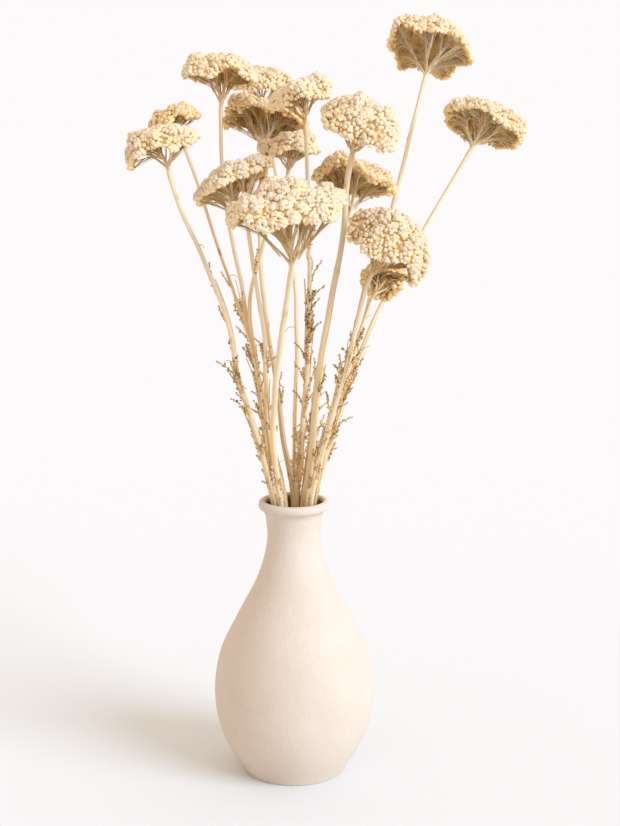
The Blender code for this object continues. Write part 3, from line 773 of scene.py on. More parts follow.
def strand_surfaces(name, flower):
    """Leaf stalks along a stem.

    Each is the stem's line + outward (a share of the stem's radius + stand-off times
    (0.3 s^2 + 0.7 s^8) + ripple sin(9s)), on a bearing that swings by sin(3s). Its
    radius tapers, with knots as sin(23s).
    """
    rows = [row[1:] for row in STRANDS if row[0] == name]
    parts = []
    for index, (low, high, bearing, stand_off, radius) in enumerate(rows):
        draws = draws_for(name + " strand " + str(index))
        share = np.linspace(0, 1, STRAND_RINGS)
        levels = (low + (high - low) * share) * MM
        outward = compass(bearing + STRAND_SWING * np.sin(3 * share + draws.uniform(0, 6)))
        wave = stand_off * (0.3 * share**2 + 0.7 * share**8) + STRAND_RIPPLE * np.sin(9 * share)
        reach = STRAND_SUNK * stem_radius(flower, levels) + wave * MM
        path = stem_line(name, flower, levels) + outward * reach[:, None]
        knots = 1 + STRAND_KNOTS * np.sin(23 * share + draws.uniform(0, 6))
        radii = radius * MM * (1 - STRAND_TAPER * share) * knots
        pale, spread, growth = STRAND_TONES
        tone = pale + spread * draws.uniform() + growth * share
        parts.append(tubes(path[None], radii[None], AWAY, STRAND_SIDES, tone[None]))
    return parts


# Ribs of the smaller leaf remains: how far into the stem they start as a share of its
# radius, and their slant away from it and their turn in radians
LEAF_RINGS = 8
REMAIN_SUNK = 0.8
REMAIN_SLANTS = (0.02, 0.4)
REMAIN_TILT = 0.5
REMAIN_TURN = 1.0
ALONG_STEP = 2 * MM


def remain_ribs(name, flower):
    """Small leaf ribs that cling to a stem, as arcs that leave its side, and how pale each is."""
    ribs = []
    pales = []
    for index, row in enumerate(REMAINS):
        stem, low, high, count, bearing, spread, shortest, longest, pale = row
        if stem != name:
            continue
        draws = draws_for(name + " remains " + str(index))
        levels = draws.uniform(low, high, count) * MM
        along = unit(stem_path(flower, levels + ALONG_STEP) - stem_path(flower, levels))
        outward = compass(bearing + draws.uniform(-spread, spread, count))
        roots = stem_path(flower, levels) + outward * (REMAIN_SUNK * stem_radius(flower, levels))[:, None]
        slant = draws.uniform(*REMAIN_SLANTS, count)[:, None]
        headings = unit(along * np.cos(slant) + outward * np.sin(slant))
        axes = unit(np.cross(outward, along) + REMAIN_TILT * draws.normal(0, 1, along.shape))
        lengths = draws.uniform(shortest, longest, count) * MM
        turns = draws.uniform(-REMAIN_TURN, REMAIN_TURN, count)
        ribs.append(arcs(roots, headings, axes, lengths, turns, LEAF_RINGS))
        pales.append(np.full(count, pale))
    return ribs, pales


# Dried leaves: a rib with pairs of pinnules, whose scatter is a share of the rib's length
# and whose turns are in radians. A rib shorter than a full leaf has shorter pinnules.
LEAF_RADII = (0.65 * MM, 0.35 * MM)
LEAF_SIDES = 4
LEAF_TONE = 0.55
LEAF_TONE_SPREAD = 0.1
LEAF_PALENESS = 0.45
PINNULE_PAIRS = 8
FIRST_PINNULE = 0.08
PINNULE_SCATTER = 0.05
PINNULE_SPLAY = 0.8
PINNULE_TILT = 0.6
PINNULE_LENGTHS = (1.6 * MM, 3.8 * MM)
PINNULE_GROWTH = (0.6, 1.15)
PINNULE_TAPER = (1.1, 0.55)
PINNULE_TURNS = (2.0, 5.0)
PINNULE_RADII = (0.4 * MM, 0.78 * MM, 0.85 * MM, 0.4 * MM)
PINNULE_WIDTHS = (0.7, 1.3)
PINNULE_SIDES = 3
PINNULE_TONES = (-0.3, 0.42)
FULL_LEAF = 15 * MM


def leaf_surfaces(ribs, pale, draws):
    """Dried feathery leaves: a thin rib, and pairs of knobbly pinnules that curl along it.

    A pinnule is an arc from a place on the rib, and it is shorter on a shorter rib
    and towards the rib's tip.
    """
    count = len(ribs)
    sizes = np.linalg.norm(ribs[:, -1] - ribs[:, 0], axis=1)
    shape = (count, LEAF_RINGS)
    taper = np.broadcast_to(np.linspace(*LEAF_RADII, LEAF_RINGS), shape)
    facing = unit(np.cross(ribs[:, -1] - ribs[:, 0], draws.normal(0, 1, (count, 3))))
    spread = draws.uniform(-LEAF_TONE_SPREAD, LEAF_TONE_SPREAD, count)
    base_tone = (LEAF_TONE - LEAF_PALENESS * pale + spread)[:, None]
    parts = [tubes(ribs, taper, facing, LEAF_SIDES, np.broadcast_to(base_tone, shape))]
    pairs = PINNULE_PAIRS * 2
    even = np.linspace(FIRST_PINNULE, 1.0, PINNULE_PAIRS).repeat(2)
    share = even[None, :] + draws.uniform(-PINNULE_SCATTER, PINNULE_SCATTER, (count, pairs))
    place = np.clip(share, 0, 1) * (LEAF_RINGS - 1)
    index = np.minimum(place.astype(int), LEAF_RINGS - 2)
    part_way = (place - index)[..., None]
    rows = np.arange(count)[:, None]
    starts = ribs[rows, index] * (1 - part_way) + ribs[rows, index + 1] * part_way
    along = unit(ribs[rows, index + 1] - ribs[rows, index])
    side = unit(np.cross(along, facing[:, None, :])) * np.tile([1.0, -1.0], PINNULE_PAIRS)[None, :, None]
    side = unit(side + PINNULE_SPLAY * draws.normal(0, 1, side.shape))
    headings = unit(along * draws.uniform(0.0, 1.0, (count, pairs, 1)) + side)
    axes = unit(np.cross(headings, along + PINNULE_TILT * draws.normal(0, 1, along.shape)))
    growth = np.clip(sizes / FULL_LEAF, *PINNULE_GROWTH)[:, None]
    whole, loss = PINNULE_TAPER
    lengths = draws.uniform(*PINNULE_LENGTHS, (count, pairs)) * growth * (whole - loss * share)
    turns = draws.uniform(*PINNULE_TURNS, (count, pairs))
    starts, headings, axes = (part.reshape(-1, 3) for part in (starts, headings, axes))
    paths = arcs(starts, headings, axes, lengths.ravel(), turns.ravel(), len(PINNULE_RADII))
    plump = np.array(PINNULE_RADII)[None, :] * draws.uniform(*PINNULE_WIDTHS, (len(paths), 1))
    tone = base_tone + draws.uniform(*PINNULE_TONES, (count, pairs))
    tone = np.broadcast_to(tone.reshape(-1, 1), plump.shape)
    parts.append(tubes(paths, plump, axes, PINNULE_SIDES, tone))
    return parts


# Bare curled ribs
TENDRIL_RINGS = 12
TENDRIL_SIDES = 5
TENDRIL_RADII = (0.45 * MM, 0.24 * MM)
TENDRIL_TONE = 0.6


def tendril_surfaces(name, flower):
    """The bare curled ribs that stand out from one stem."""
    rows = np.array([row[1:] for row in TENDRILS if row[0] == name], float)
    if not len(rows):
        return []
    level, bearing, slant, length, turn = rows.T
    slant = np.radians(slant)[:, None]
    upward = np.array([[0.0, 0.0, 1.0]])
    headings = np.sin(slant) * compass(bearing) + np.cos(slant) * upward
    axes = compass(bearing + 90)
    paths = arcs(stem_path(flower, level * MM), headings, axes, length * MM, np.radians(turn), TENDRIL_RINGS)
    radii = np.broadcast_to(np.linspace(*TENDRIL_RADII, TENDRIL_RINGS), (len(rows), TENDRIL_RINGS))
    return [tubes(paths, radii, axes, TENDRIL_SIDES, np.full(radii.shape, TENDRIL_TONE))]


# Heads


def head_axes(flower):
    """The head's two directions across and its axis, as the rows of a matrix."""
    side, back = (math.tan(math.radians(angle)) for angle in flower["lean"])
    axis = unit(np.array([side, back, 1.0]))
    across = unit(np.array([1.0, 0, 0]) - axis * axis[0])
    return np.stack([across, np.cross(axis, across), axis])


def outline_share(name, angles):
    """How far out the head's uneven outline lies in each direction, about 1."""
    draws = seeded(name + " outline")
    share = np.ones_like(angles)
    for count, size in OUTLINE_WAVES:
        share = share + size * np.sin(count * angles + draws.uniform(0, math.tau))
    return share


def dome_edge(flower):
    """How steep the dome is where its curled edge starts, and how far that is from the crown."""
    radius = flower["radius"] * MM
    slope = math.atan(DOME_POWER * flower["droop"] * MM / radius)
    return slope, radius - EDGE_RADIUS * (1 - math.sin(slope))


def crust_profile(flower, distance):
    """The crust's radius and level at distances from its crown, measured along a flat disc.

    A dome, level = minus droop times share to the dome's power, runs on into a round
    edge that curls under the head.
    """
    droop = flower["droop"] * MM
    slope, dome = dome_edge(flower)
    turn = slope + (distance - dome) / EDGE_RADIUS
    edge_radius = dome - EDGE_RADIUS * math.sin(slope) + EDGE_RADIUS * np.sin(turn)
    edge_level = -droop - EDGE_RADIUS * math.cos(slope) + EDGE_RADIUS * np.cos(turn)
    inside = distance <= dome
    level = np.where(inside, -droop * (distance / dome) ** DOME_POWER, edge_level)
    return np.where(inside, distance, edge_radius), level


def crust_reach(flower, turn):
    """The distance from the crown to where the curled edge has turned that far, along a flat disc."""
    slope, dome = dome_edge(flower)
    return dome + EDGE_RADIUS * (turn - slope)


def sunflower(count, reach, turn, centring=0.5):
    """Places on a flat disc by the golden angle, at reach times the root of (index + centring) / count."""
    index = np.arange(count)
    distance = reach * np.sqrt((index + centring) / count)
    angles = index * GOLDEN_ANGLE + turn
    return distance, angles


def spread_over(name, distance, angles):
    """Disc places pushed out by the head's uneven outline."""
    distance = distance * outline_share(name, angles)
    return np.column_stack([distance * np.cos(angles), distance * np.sin(angles)])


def swell_about(centres, reach, places, heights=1.0):
    """How far places swell: the largest of height (1 - (gap / reach)^2) over the centres, or 0.

    The index of the nearest centre comes with it.
    """
    gaps = np.linalg.norm(places[:, None, :] - centres[None, :, :], axis=2)
    bells = np.maximum(0, 1 - (gaps / reach) ** 2) * heights
    return bells.max(1), gaps.argmin(1)


def cluster_centres(name, flower):
    """The middles of the head's clusters on its disc, how far each one swells, and its own height."""
    radius = flower["radius"] * MM
    clusters = max(FEWEST_CLUSTERS, round(radius / CLUSTER_WIDTH))
    turn = seeded(name + " clusters").uniform(0, math.tau)
    distance, angles = sunflower(clusters, CLUSTER_SPREAD * radius, turn)
    centres = np.column_stack([distance * np.cos(angles), distance * np.sin(angles)])
    heights = draws_for(name + " heights").uniform(*CLUSTER_HEIGHTS, clusters)
    return centres, CLUSTER_OVERLAP * radius / math.sqrt(clusters), heights


def crust_points(name, flower, places):
    """The crust's surface in the head's own frame, for places on its flat disc.

    The dome rises by its clusters, its edge is drawn in between them, and each mound
    adds its rise times (1 - (gap / reach)^2)^2.
    """
    distance = np.hypot(places[:, 0], places[:, 1])
    angles = np.arctan2(places[:, 1], places[:, 0])
    share = outline_share(name, angles)
    radius, level = crust_profile(flower, distance / share)
    clusters, cluster_reach, heights = cluster_centres(name, flower)
    swell, _ = swell_about(clusters, cluster_reach, places, heights)
    edge = np.clip(distance / (flower["radius"] * MM), 0, EDGE_LIMIT) ** EDGE_POWER
    radius = radius * share * (1 + EDGE_SCALLOP * edge * (swell - EDGE_SWELL))
    level = level + CLUSTER_RISE * swell
    for x, y, reach, rise in flower.get("mounds", ()):
        gap = np.hypot(places[:, 0] - x * MM, places[:, 1] - y * MM) / (reach * MM)
        level = level + rise * MM * np.maximum(0, 1 - gap**2) ** 2
    return np.column_stack([radius * np.cos(angles), radius * np.sin(angles), level])


def crust_normals(name, flower, places):
    """The crust's outward directions: across its slopes along both directions of the disc."""
    along_x, along_y = (
        crust_points(name, flower, places + step) - crust_points(name, flower, places - step)
        for step in SLOPE_STEP * np.eye(2)
    )
    return unit(np.cross(along_x, along_y))


def tuft_places(name, flower):
    """The middles of the tufts that make up a head, on its flat disc, one for each ray."""
    radius = flower["radius"] * MM
    count = max(FEWEST_TUFTS, round(radius / TUFT_WIDTH))
    turn = seeded(name + " tufts").uniform(0, math.tau)
    distance, angles = sunflower(count, TUFT_SPREAD * radius, turn, TUFT_CENTRING)
    return spread_over(name, distance, angles)


def below_crust(flower, tops, depth):
    """Points under the crust, that deep on the way to the flower's node, in the head's own frame."""
    node = np.array([0, 0, -flower["crown"] * MM])
    return tops + unit(node - tops) * depth


# How florets lie on the crust. Spreads and scatters are shares of the spacing or of the
# crust's reach.
FLORETS_PER_SQUARE = 3.85
FLORETS_PER_CYME = 16
FLORET_MARGIN = 0.35
FLORET_SCATTER = 0.16
FLORET_LEVEL_SPREAD = 0.3 * MM
FLORET_UPWARD = 0.5
FLORET_TILT = 0.15
FLORET_SIZES = (0.82, 1.15)
SIZE_IN_GAPS = 0.9
SIZE_ON_CYMES = 0.15
CYME_SPREAD = 0.97
CYME_SCATTER = 0.35
CYME_OVERLAP = 1.35
CYME_HEIGHTS = (0.7, 1.25)
CYME_PULL = 0.12
CYME_RISE = 2.9 * MM
CYME_MIDDLE = 0.6
CYME_TILT = 0.9
CYME_DEPTH = 4.6 * MM
# How far the swell of cymes and clusters lightens high florets and darkens low ones: painted shade between
# the cymes
EXPOSURE_SHARES = (0.6, 0.4)

# One floret, from the calyx up to the crown: the level, radius and lobe of each ring as
# shares of its size, and how far each ring is a petal's tip
FLORET_SIDES = 8
CLOSED_RINGS = ((-2.1, 0.0, 0.0), (-1.4, 0.55, 0.0), (0.0, 1.0, 0.12), (0.60, 0.78, 0.16), (0.92, 0.0, 0.0))
OPEN_RINGS = ((-2.1, 0.0, 0.0), (-1.4, 0.50, 0.04), (0.05, 1.06, 0.26), (0.50, 0.80, 0.30), (0.60, 0.0, 0.0))
RING_TIPS = (0.0, 0.25, 0.80, 1.0, 0.88)
UPPER_TIP = 0.5
# The crests of the lobes get a higher tip and the dips between them a lower one: painted shade between the
# petals
CREST_TIP = 0.1
PETAL_SPREAD = 0.10
PETAL_LIFT = 0.5


def floret_surface(centres, normals, sizes, opened, exposure, draws):
    """Lobed beads that taper to a calyx below, one for each centre.

    Ring by ring, radius = size times ring radius times (1 + lobe cos(4a) + petal), where
    each petal has its own share, and the rings lie between a closed and an open form.
    """
    count = len(centres)
    blend = opened[:, None]
    closed, open_form = (np.transpose(rings)[:, None] for rings in (CLOSED_RINGS, OPEN_RINGS))
    level, radius, lobe = closed * (1 - blend) + open_form * blend
    crest = np.tile([1.0, -1.0], FLORET_SIDES // 2)
    petals = draws.normal(0, PETAL_SPREAD, (count, FLORET_SIDES // 2)).repeat(2, axis=1)
    tips = np.array(RING_TIPS)
    upper = (tips[1:-1] > UPPER_TIP)[:, None]
    ring_radius = radius[:, 1:-1, None] * (1 + lobe[:, 1:-1, None] * crest + petals[:, None, :] * upper)
    ring_level = level[:, 1:-1, None] + PETAL_LIFT * petals[:, None, :] * upper
    around = (ring_angles(FLORET_SIDES) + draws.uniform(0, math.tau, (count, 1)))[:, None]
    side = unit(np.cross(normals, unit(draws.normal(0, 1, (count, 3)))))
    up = np.cross(normals, side)
    rings = centres[:, None, None] + sizes[:, None, None, None] * (
        (ring_radius * np.cos(around))[..., None] * side[:, None, None]
        + (ring_radius * np.sin(around))[..., None] * up[:, None, None]
        + ring_level[..., None] * normals[:, None, None]
    )
    poles = centres[:, None] + normals[:, None] * (level[:, [0, -1]] * sizes[:, None])[..., None]
    points = np.concatenate([rings.reshape(count, -1, 3), poles], axis=1)
    grid, beside, sheet = sheet_on(len(tips) - 2, FLORET_SIDES)
    low = fan_to(grid.size, beside[0], grid[0])
    high = fan_to(grid.size + 1, grid[-1], beside[-1])
    size = points.shape[1]
    body = tips[1:-1, None] + CREST_TIP * crest * upper
    tip = np.concatenate([body.ravel(), [tips[0], tips[-1]]])
    return surface(
        points.reshape(-1, 3),
        copies(np.concatenate([sheet[:, ::-1], low, high]), count, size),
        tip=np.broadcast_to(tip, (count, size)).reshape(-1),
        draw=np.repeat(draws.uniform(0, 1, count), size),
        exposure=np.repeat(exposure, size),
    )


def head_layout(name, flower, looks):
    """Where a head's florets and cymes lie, in the head's own frame.

    Both spread as in a sunflower. Florets are drawn towards the nearest cyme's middle,
    and rise and lean away from it as on a low cushion.
    """
    draws = draws_for(name + " florets")
    spacing = looks.floret_spacing
    reach = crust_reach(flower, FLORET_TURN)
    count = round(FLORETS_PER_SQUARE * (reach / spacing) ** 2)
    distance, angles = sunflower(count, reach - FLORET_MARGIN * spacing, draws.uniform(0, math.tau))
    places = spread_over(name, distance, angles) + draws.normal(0, FLORET_SCATTER * spacing, (count, 2))
    cyme_count = round(count / FLORETS_PER_CYME)
    distance, angles = sunflower(cyme_count, CYME_SPREAD * reach, draws.uniform(0, math.tau))
    cymes = spread_over(name, distance, angles)
    cymes = cymes + draws.normal(0, CYME_SCATTER * spacing, cymes.shape)
    cyme_reach = reach * math.sqrt(CYME_OVERLAP / len(cymes))
    cyme_heights = draws.uniform(*CYME_HEIGHTS, len(cymes))
    swell, nearest = swell_about(cymes, cyme_reach, places, cyme_heights)
    places = places + CYME_PULL * (cymes[nearest] - places)
    normals = crust_normals(name, flower, places)
    tops = crust_points(name, flower, places)
    middles = crust_points(name, flower, cymes)
    lift = CYME_RISE * (swell - CYME_MIDDLE) + draws.normal(0, FLORET_LEVEL_SPREAD, count)
    centres = tops + normals * lift[:, None]
    tilt = CYME_TILT * ((tops - middles[nearest]) / cyme_reach)
    upward = np.array([0.0, 0.0, FLORET_UPWARD])
    normals = unit(normals + upward + tilt + FLORET_TILT * draws.normal(0, 1, (count, 3)))
    sizes = looks.floret_radius * draws.uniform(*FLORET_SIZES, count) * (SIZE_IN_GAPS + SIZE_ON_CYMES * swell)
    clusters, cluster_reach, _ = cluster_centres(name, flower)
    broad, _ = swell_about(clusters, cluster_reach, places)
    near, far = EXPOSURE_SHARES
    return dict(
        centres=centres,
        normals=normals,
        sizes=sizes,
        nearest=nearest,
        exposure=near * swell + far * broad,
        cymes=cymes,
        middles=middles,
        cyme_reach=cyme_reach,
    )


def to_world(flower, points):
    """Points in the head's own frame as world points."""
    axes = head_axes(flower)
    crown = (np.array(flower["node"]) + axes[2] * flower["crown"]) * MM
    return crown + points @ axes


# The core under the florets, and the cones that it is drawn down into
BED_RINGS = 18
BED_SEGMENTS = 56
BED_DEPTH = 1.8 * MM
BED_SWELL = 0.8
BED_THICKNESS = 0.9 * MM
BED_MARGIN = 2.2 * MM
BED_TIP = 0.56
BED_DRAW = 0.5
FAN_DEPTH_SHARE = 0.26
SHORT_FAN = 0.4
FAN_OVERLAP = 1.25
# The lower sheet is the cups' tan, darker than the upper sheet, partly its own colour and partly painted
# shade under the head; between the cones it is darker still, painted shade in the recesses
FAN_SHADED_TIP = 0.16
FAN_SHADE_SHARE = 0.4
FAN_EXPOSURE = (0.5, 0.4)


def bed_surface(name, flower, layout):
    """The core that the florets stand out of, drawn down into a cone above each ray.

    Two sheets on rings of a disc, joined at the rim. The upper one lies just under
    the crust. The lower one goes deeper towards the node by the head's radius times
    the fan share times (1 - gap to the nearest ray / reach).
    """
    share = np.linspace(0, 1, BED_RINGS + 1)[1:, None]
    angles = ring_angles(BED_SEGMENTS)
    reach = share * ((crust_reach(flower, BED_TURN) - BED_MARGIN) * outline_share(name, angles))
    flat = np.stack([reach * np.cos(angles), reach * np.sin(angles)], -1)
    flat = np.concatenate([flat.reshape(-1, 2), [(0.0, 0.0)]])
    swell, _ = swell_about(layout["cymes"], layout["cyme_reach"], flat)
    depth = BED_DEPTH - BED_SWELL * CYME_RISE * (swell - CYME_MIDDLE)
    upper = crust_points(name, flower, flat) - crust_normals(name, flower, flat) * depth[:, None]
    tufts = tuft_places(name, flower)
    radius = flower["radius"] * MM
    gaps = np.linalg.norm(flat[:, None] - tufts[None], axis=2)
    fans = np.maximum(0, 1 - gaps / (FAN_OVERLAP * radius / math.sqrt(len(tufts)))).max(1)
    fan_depth = FAN_DEPTH_SHARE * radius * (SHORT_FAN if "backs" in flower else 1.0)
    lower = below_crust(flower, upper, (BED_THICKNESS + fan_depth * fans)[:, None])
    points = np.concatenate([upper, lower])
    grid, beside, sheet = sheet_on(BED_RINGS, BED_SEGMENTS)
    sheet = np.concatenate([sheet, fan_to(grid.size, grid[0], beside[0])])
    beneath = len(flat)
    _, _, hem = sheet_on(2, BED_SEGMENTS)
    rim = np.concatenate([grid[-1], grid[-1] + beneath])[hem]
    # The head's under value is painted shade on the lower sheet, or painted light where it is below 0
    fan_tip = FAN_SHADED_TIP - FAN_SHADE_SHARE * flower.get("under", 0.0)
    shaded, shown = FAN_EXPOSURE
    return surface(
        to_world(flower, points),
        np.concatenate([sheet, sheet[:, ::-1] + beneath, rim]),
        tip=np.repeat((BED_TIP, fan_tip), len(flat)),
        draw=np.full(len(points), BED_DRAW),
        exposure=np.concatenate([swell, shaded + shown * fans]),
        ray=from_node(flower, points),
    )


# Florets seen from behind
BACK_SPACING = 3.4 * MM
BACK_SCATTER = 0.25
BACK_RADIUS = 1.9 * MM
BACK_SIZES = (0.8, 1.2)
BACK_DEPTH = 1.8 * MM
BACK_SWELL = 3.0 * MM
BACK_TILT = 0.5
# Florets seen from behind are darker except where the cymes swell: painted shade under the crust
BACK_EXPOSURE = 0.6


def back_florets(name, flower, layout):
    """Closed florets seen from behind, which hang under the crust from a share of its radius outward."""
    draws = draws_for(name + " backs")
    reach = crust_reach(flower, BED_TURN)
    count = round(FLORETS_PER_SQUARE * (reach / BACK_SPACING) ** 2)
    distance, angles = sunflower(count, reach, draws.uniform(0, math.tau))
    shown = distance > flower["backs"] * reach
    places = spread_over(name, distance[shown], angles[shown])
    places = places + draws.normal(0, BACK_SCATTER * BACK_SPACING, places.shape)
    swell, _ = swell_about(layout["cymes"], layout["cyme_reach"], places)
    depth = (BACK_DEPTH + BACK_SWELL * swell)[:, None]
    centres = below_crust(flower, crust_points(name, flower, places), depth)
    normals = unit(BACK_TILT * draws.normal(0, 1, centres.shape) - crust_normals(name, flower, places))
    sizes = BACK_RADIUS * draws.uniform(*BACK_SIZES, len(places))
    return floret_surface(
        to_world(flower, centres), normals @ head_axes(flower), sizes, np.zeros(len(places)),
        BACK_EXPOSURE * swell, draws,
    )


def from_node(flower, points):
    """Each point's direction as seen from the node, for points in the head's own frame."""
    return unit(points + np.array([0, 0, flower["crown"] * MM]))


# How much the florets of one head differ in how far they have opened
OPENED_SPREAD = 0.22


def head_surface(name, flower, layout):
    """The florets of one head, on their core."""
    draws = draws_for(name + " petals")
    axes = head_axes(flower)
    count = len(layout["centres"])
    opened = np.clip(flower["opened"] + draws.normal(0, OPENED_SPREAD, count), 0, 1)
    florets = floret_surface(
        to_world(flower, layout["centres"]), layout["normals"] @ axes, layout["sizes"], opened,
        layout["exposure"], draws,
    )
    if "backs" in flower:
        florets = joined([florets, back_florets(name, flower, layout)])
    in_head = (florets["points"] - to_world(flower, np.zeros(3))) @ axes.T
    florets["marks"]["ray"] = from_node(flower, in_head)
    return joined([florets, bed_surface(name, flower, layout)])


# Branches of a head. Starts are the shares along a branch where the next ones leave it,
# and the pull is the share of a branch that keeps the direction of the one before it.
RAY_RADII = (1.08 * MM, 0.72 * MM, 0.54 * MM)
RAY_WIDTHS = (0.85, 1.1)
RAY_RINGS = 10
RAY_SIDES = 6
RAY_TONES = (0.35, 0.5)
RAY_PALENESS = 0.7
SPOKE_STARTS = (0.12, 0.95)
SPOKE_RADII = (0.5 * MM, 0.34 * MM)
SPOKE_RINGS = 6
SPOKE_SIDES = 4
SPOKE_TONES = (0.45, 0.4)
PEDICEL_STARTS = (0.05, 0.9)
PEDICEL_RADIUS = 0.2 * MM
PEDICEL_RINGS = 3
PEDICEL_SIDES = 3
PEDICEL_TONES = (0.35, 0.65)
PULL_SHARE = 0.4
CALYX_DEPTH = 1.7


def ray_surfaces(name, flower, layout):
    """The rays to the tufts, the spokes from the rays to the cymes, and the pedicels to the florets.

    Each follows the curve of on_curve. A ray is drawn in by s(1-s)^4 of its tuft's place
    on the disc. A spoke leaves in its ray's direction, and a pedicel in its spoke's.
    """
    draws = draws_for(name + " rays")
    radius = flower["radius"] * MM
    node_level = flower["node"][2] * MM
    # The head's under value paints shade on its rays, spokes and pedicels, or painted light where it is below
    # 0; browner heads have paler rays
    under = flower.get("under", 0.0)
    paling_and_shade = RAY_PALENESS * flower["browned_and_shaded"] - under
    low, high = stem_path(flower, np.array([node_level - BRANCHING_LENGTH, node_level - BRANCHING_END]))
    tufts = tuft_places(name, flower)
    count = len(tufts)
    tips = to_world(flower, below_crust(flower, crust_points(name, flower, tufts), TUFT_DEPTH_SHARE * radius))
    step = (np.arange(count) / count)[:, None]
    roots = high * (1 - step) + low * step
    flat = np.column_stack([tufts, np.zeros(count)]) @ head_axes(flower)
    pulls = 0.5 * (roots + tips) + 2 * BRANCH_BOW * flat
    shares = np.linspace(0, 1, RAY_RINGS)
    rays = bezier(roots, pulls, tips, shares) - (shares * (1 - shares) ** 4)[None, :, None] * flat[:, None]
    radii = np.interp(shares, (0, 0.5, 1), RAY_RADII) * draws.uniform(*RAY_WIDTHS, (count, 1))
    tone = np.broadcast_to(np.linspace(*RAY_TONES, RAY_RINGS) - paling_and_shade, radii.shape)
    parts = [tubes(rays, radii, unit(np.cross(tips - roots, flat + TINY)), RAY_SIDES, tone)]

    cymes = layout["cymes"]
    owner = np.linalg.norm(cymes[:, None] - tufts[None], axis=2).argmin(1)
    root, pull, tip = roots[owner], pulls[owner], tips[owner]
    t = draws.uniform(*SPOKE_STARTS, len(cymes))[:, None]
    starts = on_curve(root, pull, tip, t)
    heading = unit(2 * (1 - t) * (pull - root) + 2 * t * (tip - pull))
    ends = to_world(flower, below_crust(flower, layout["middles"], CYME_DEPTH))
    span = np.linalg.norm(ends - starts, axis=1, keepdims=True)
    bends = starts + heading * PULL_SHARE * span
    shares = np.linspace(0, 1, SPOKE_RINGS)
    facing = unit(np.cross(ends - starts, draws.normal(0, 1, starts.shape)))
    radii = np.broadcast_to(np.interp(shares, (0, 1), SPOKE_RADII), (len(cymes), SPOKE_RINGS))
    tone = np.broadcast_to(np.linspace(*SPOKE_TONES, SPOKE_RINGS) - paling_and_shade, radii.shape)
    parts.append(tubes(bezier(starts, bends, ends, shares), radii, facing, SPOKE_SIDES, tone))

    feet = layout["centres"] - layout["normals"] * (CALYX_DEPTH * layout["sizes"])[:, None]
    feet = to_world(flower, feet)
    root, pull, tip = (part[layout["nearest"]] for part in (starts, bends, ends))
    joints = on_curve(root, pull, tip, draws.uniform(*PEDICEL_STARTS, len(feet))[:, None])
    span = np.linalg.norm(feet - joints, axis=1, keepdims=True)
    bends = joints + unit(tip - root) * PULL_SHARE * span
    shares = np.linspace(0, 1, PEDICEL_RINGS)
    facing = unit(np.cross(feet - joints, draws.normal(0, 1, feet.shape)))
    radii = np.full((len(feet), PEDICEL_RINGS), PEDICEL_RADIUS)
    tone = np.broadcast_to(draws.uniform(*PEDICEL_TONES, (len(feet), 1)) + under, radii.shape)
    parts.append(tubes(bezier(joints, bends, feet, shares), radii, facing, PEDICEL_SIDES, tone))
    return parts


# Materials

DRIFT_GROUP = "tone drift"
WHITE = (1.0, 1.0, 1.0)
BLACK = (0.0, 0.0, 0.0)


def add_node(tree, kind, label, **values):
    """Add a shader node, set its properties by attribute, and its sockets by name."""
    node = tree.nodes.new(kind)
    node.label = label
    for key, value in values.items():
        if hasattr(node, key):
            setattr(node, key, value)
        else:
            node.inputs[key.replace("_", " ")].default_value = value
    return node


def new_material(name, roughness, gloss):
    """A new material, its node tree, and its Principled shader with that roughness and gloss."""
    material = bpy.data.materials.new(name)
    material.use_nodes = True
    shader = material.node_tree.nodes["Principled BSDF"]
    shader.inputs["Roughness"].default_value = roughness
    shader.inputs["Specular IOR Level"].default_value = gloss
    return material, material.node_tree, shader


def drift_group():
    """The shared group, found or made: how far a tone drifts, from slow patches and fine flecks."""
    group = bpy.data.node_groups.get(DRIFT_GROUP)
    if group:
        return group
    group = bpy.data.node_groups.new(DRIFT_GROUP, "ShaderNodeTree")
    group.interface.new_socket("Vector", in_out="INPUT", socket_type="NodeSocketVector")
    for name in ("Patches", "Flecks", "Fleck Share"):
        group.interface.new_socket(name, in_out="INPUT", socket_type="NodeSocketFloat")
    group.interface.new_socket("Drift", in_out="OUTPUT", socket_type="NodeSocketFloat")
    given = group.nodes.new("NodeGroupInput").outputs
    made = group.nodes.new("NodeGroupOutput").inputs
    slow = add_node(group, "ShaderNodeTexNoise", "slow patches", Detail=3.0)
    fine = add_node(group, "ShaderNodeTexNoise", "fine flecks", Detail=2.0)
    mix = add_node(group, "ShaderNodeMix", "patches and flecks", data_type="FLOAT")
    for source, goal in (
        (given["Vector"], slow.inputs["Vector"]),
        (given["Vector"], fine.inputs["Vector"]),
        (given["Patches"], slow.inputs["Scale"]),
        (given["Flecks"], fine.inputs["Scale"]),
        (given["Fleck Share"], mix.inputs["Factor"]),
        (slow.outputs["Fac"], mix.inputs["A"]),
        (fine.outputs["Fac"], mix.inputs["B"]),
        (mix.outputs["Result"], made["Drift"]),
    ):
        group.links.new(source, goal)
    return group


def drift(tree, vector, patches, flecks, fleck_share):
    """The tone drift group, placed in a material."""
    node = tree.nodes.new("ShaderNodeGroup")
    node.node_tree = drift_group()
    node.inputs["Patches"].default_value = patches
    node.inputs["Flecks"].default_value = flecks
    node.inputs["Fleck Share"].default_value = fleck_share
    tree.links.new(vector, node.inputs["Vector"])
    return node.outputs["Drift"]


def ramp(tree, label, value, stops):
    """A colour ramp over a value, with (place, colour) stops."""
    node = tree.nodes.new("ShaderNodeValToRGB")
    node.label = label
    band = node.color_ramp
    while len(band.elements) < len(stops):
        band.elements.new(0.5)
    for element, (place, colour) in zip(band.elements, stops):
        element.position = place
        element.color = (*colour, 1.0)
    tree.links.new(value, node.inputs["Fac"])
    return node.outputs["Color"]


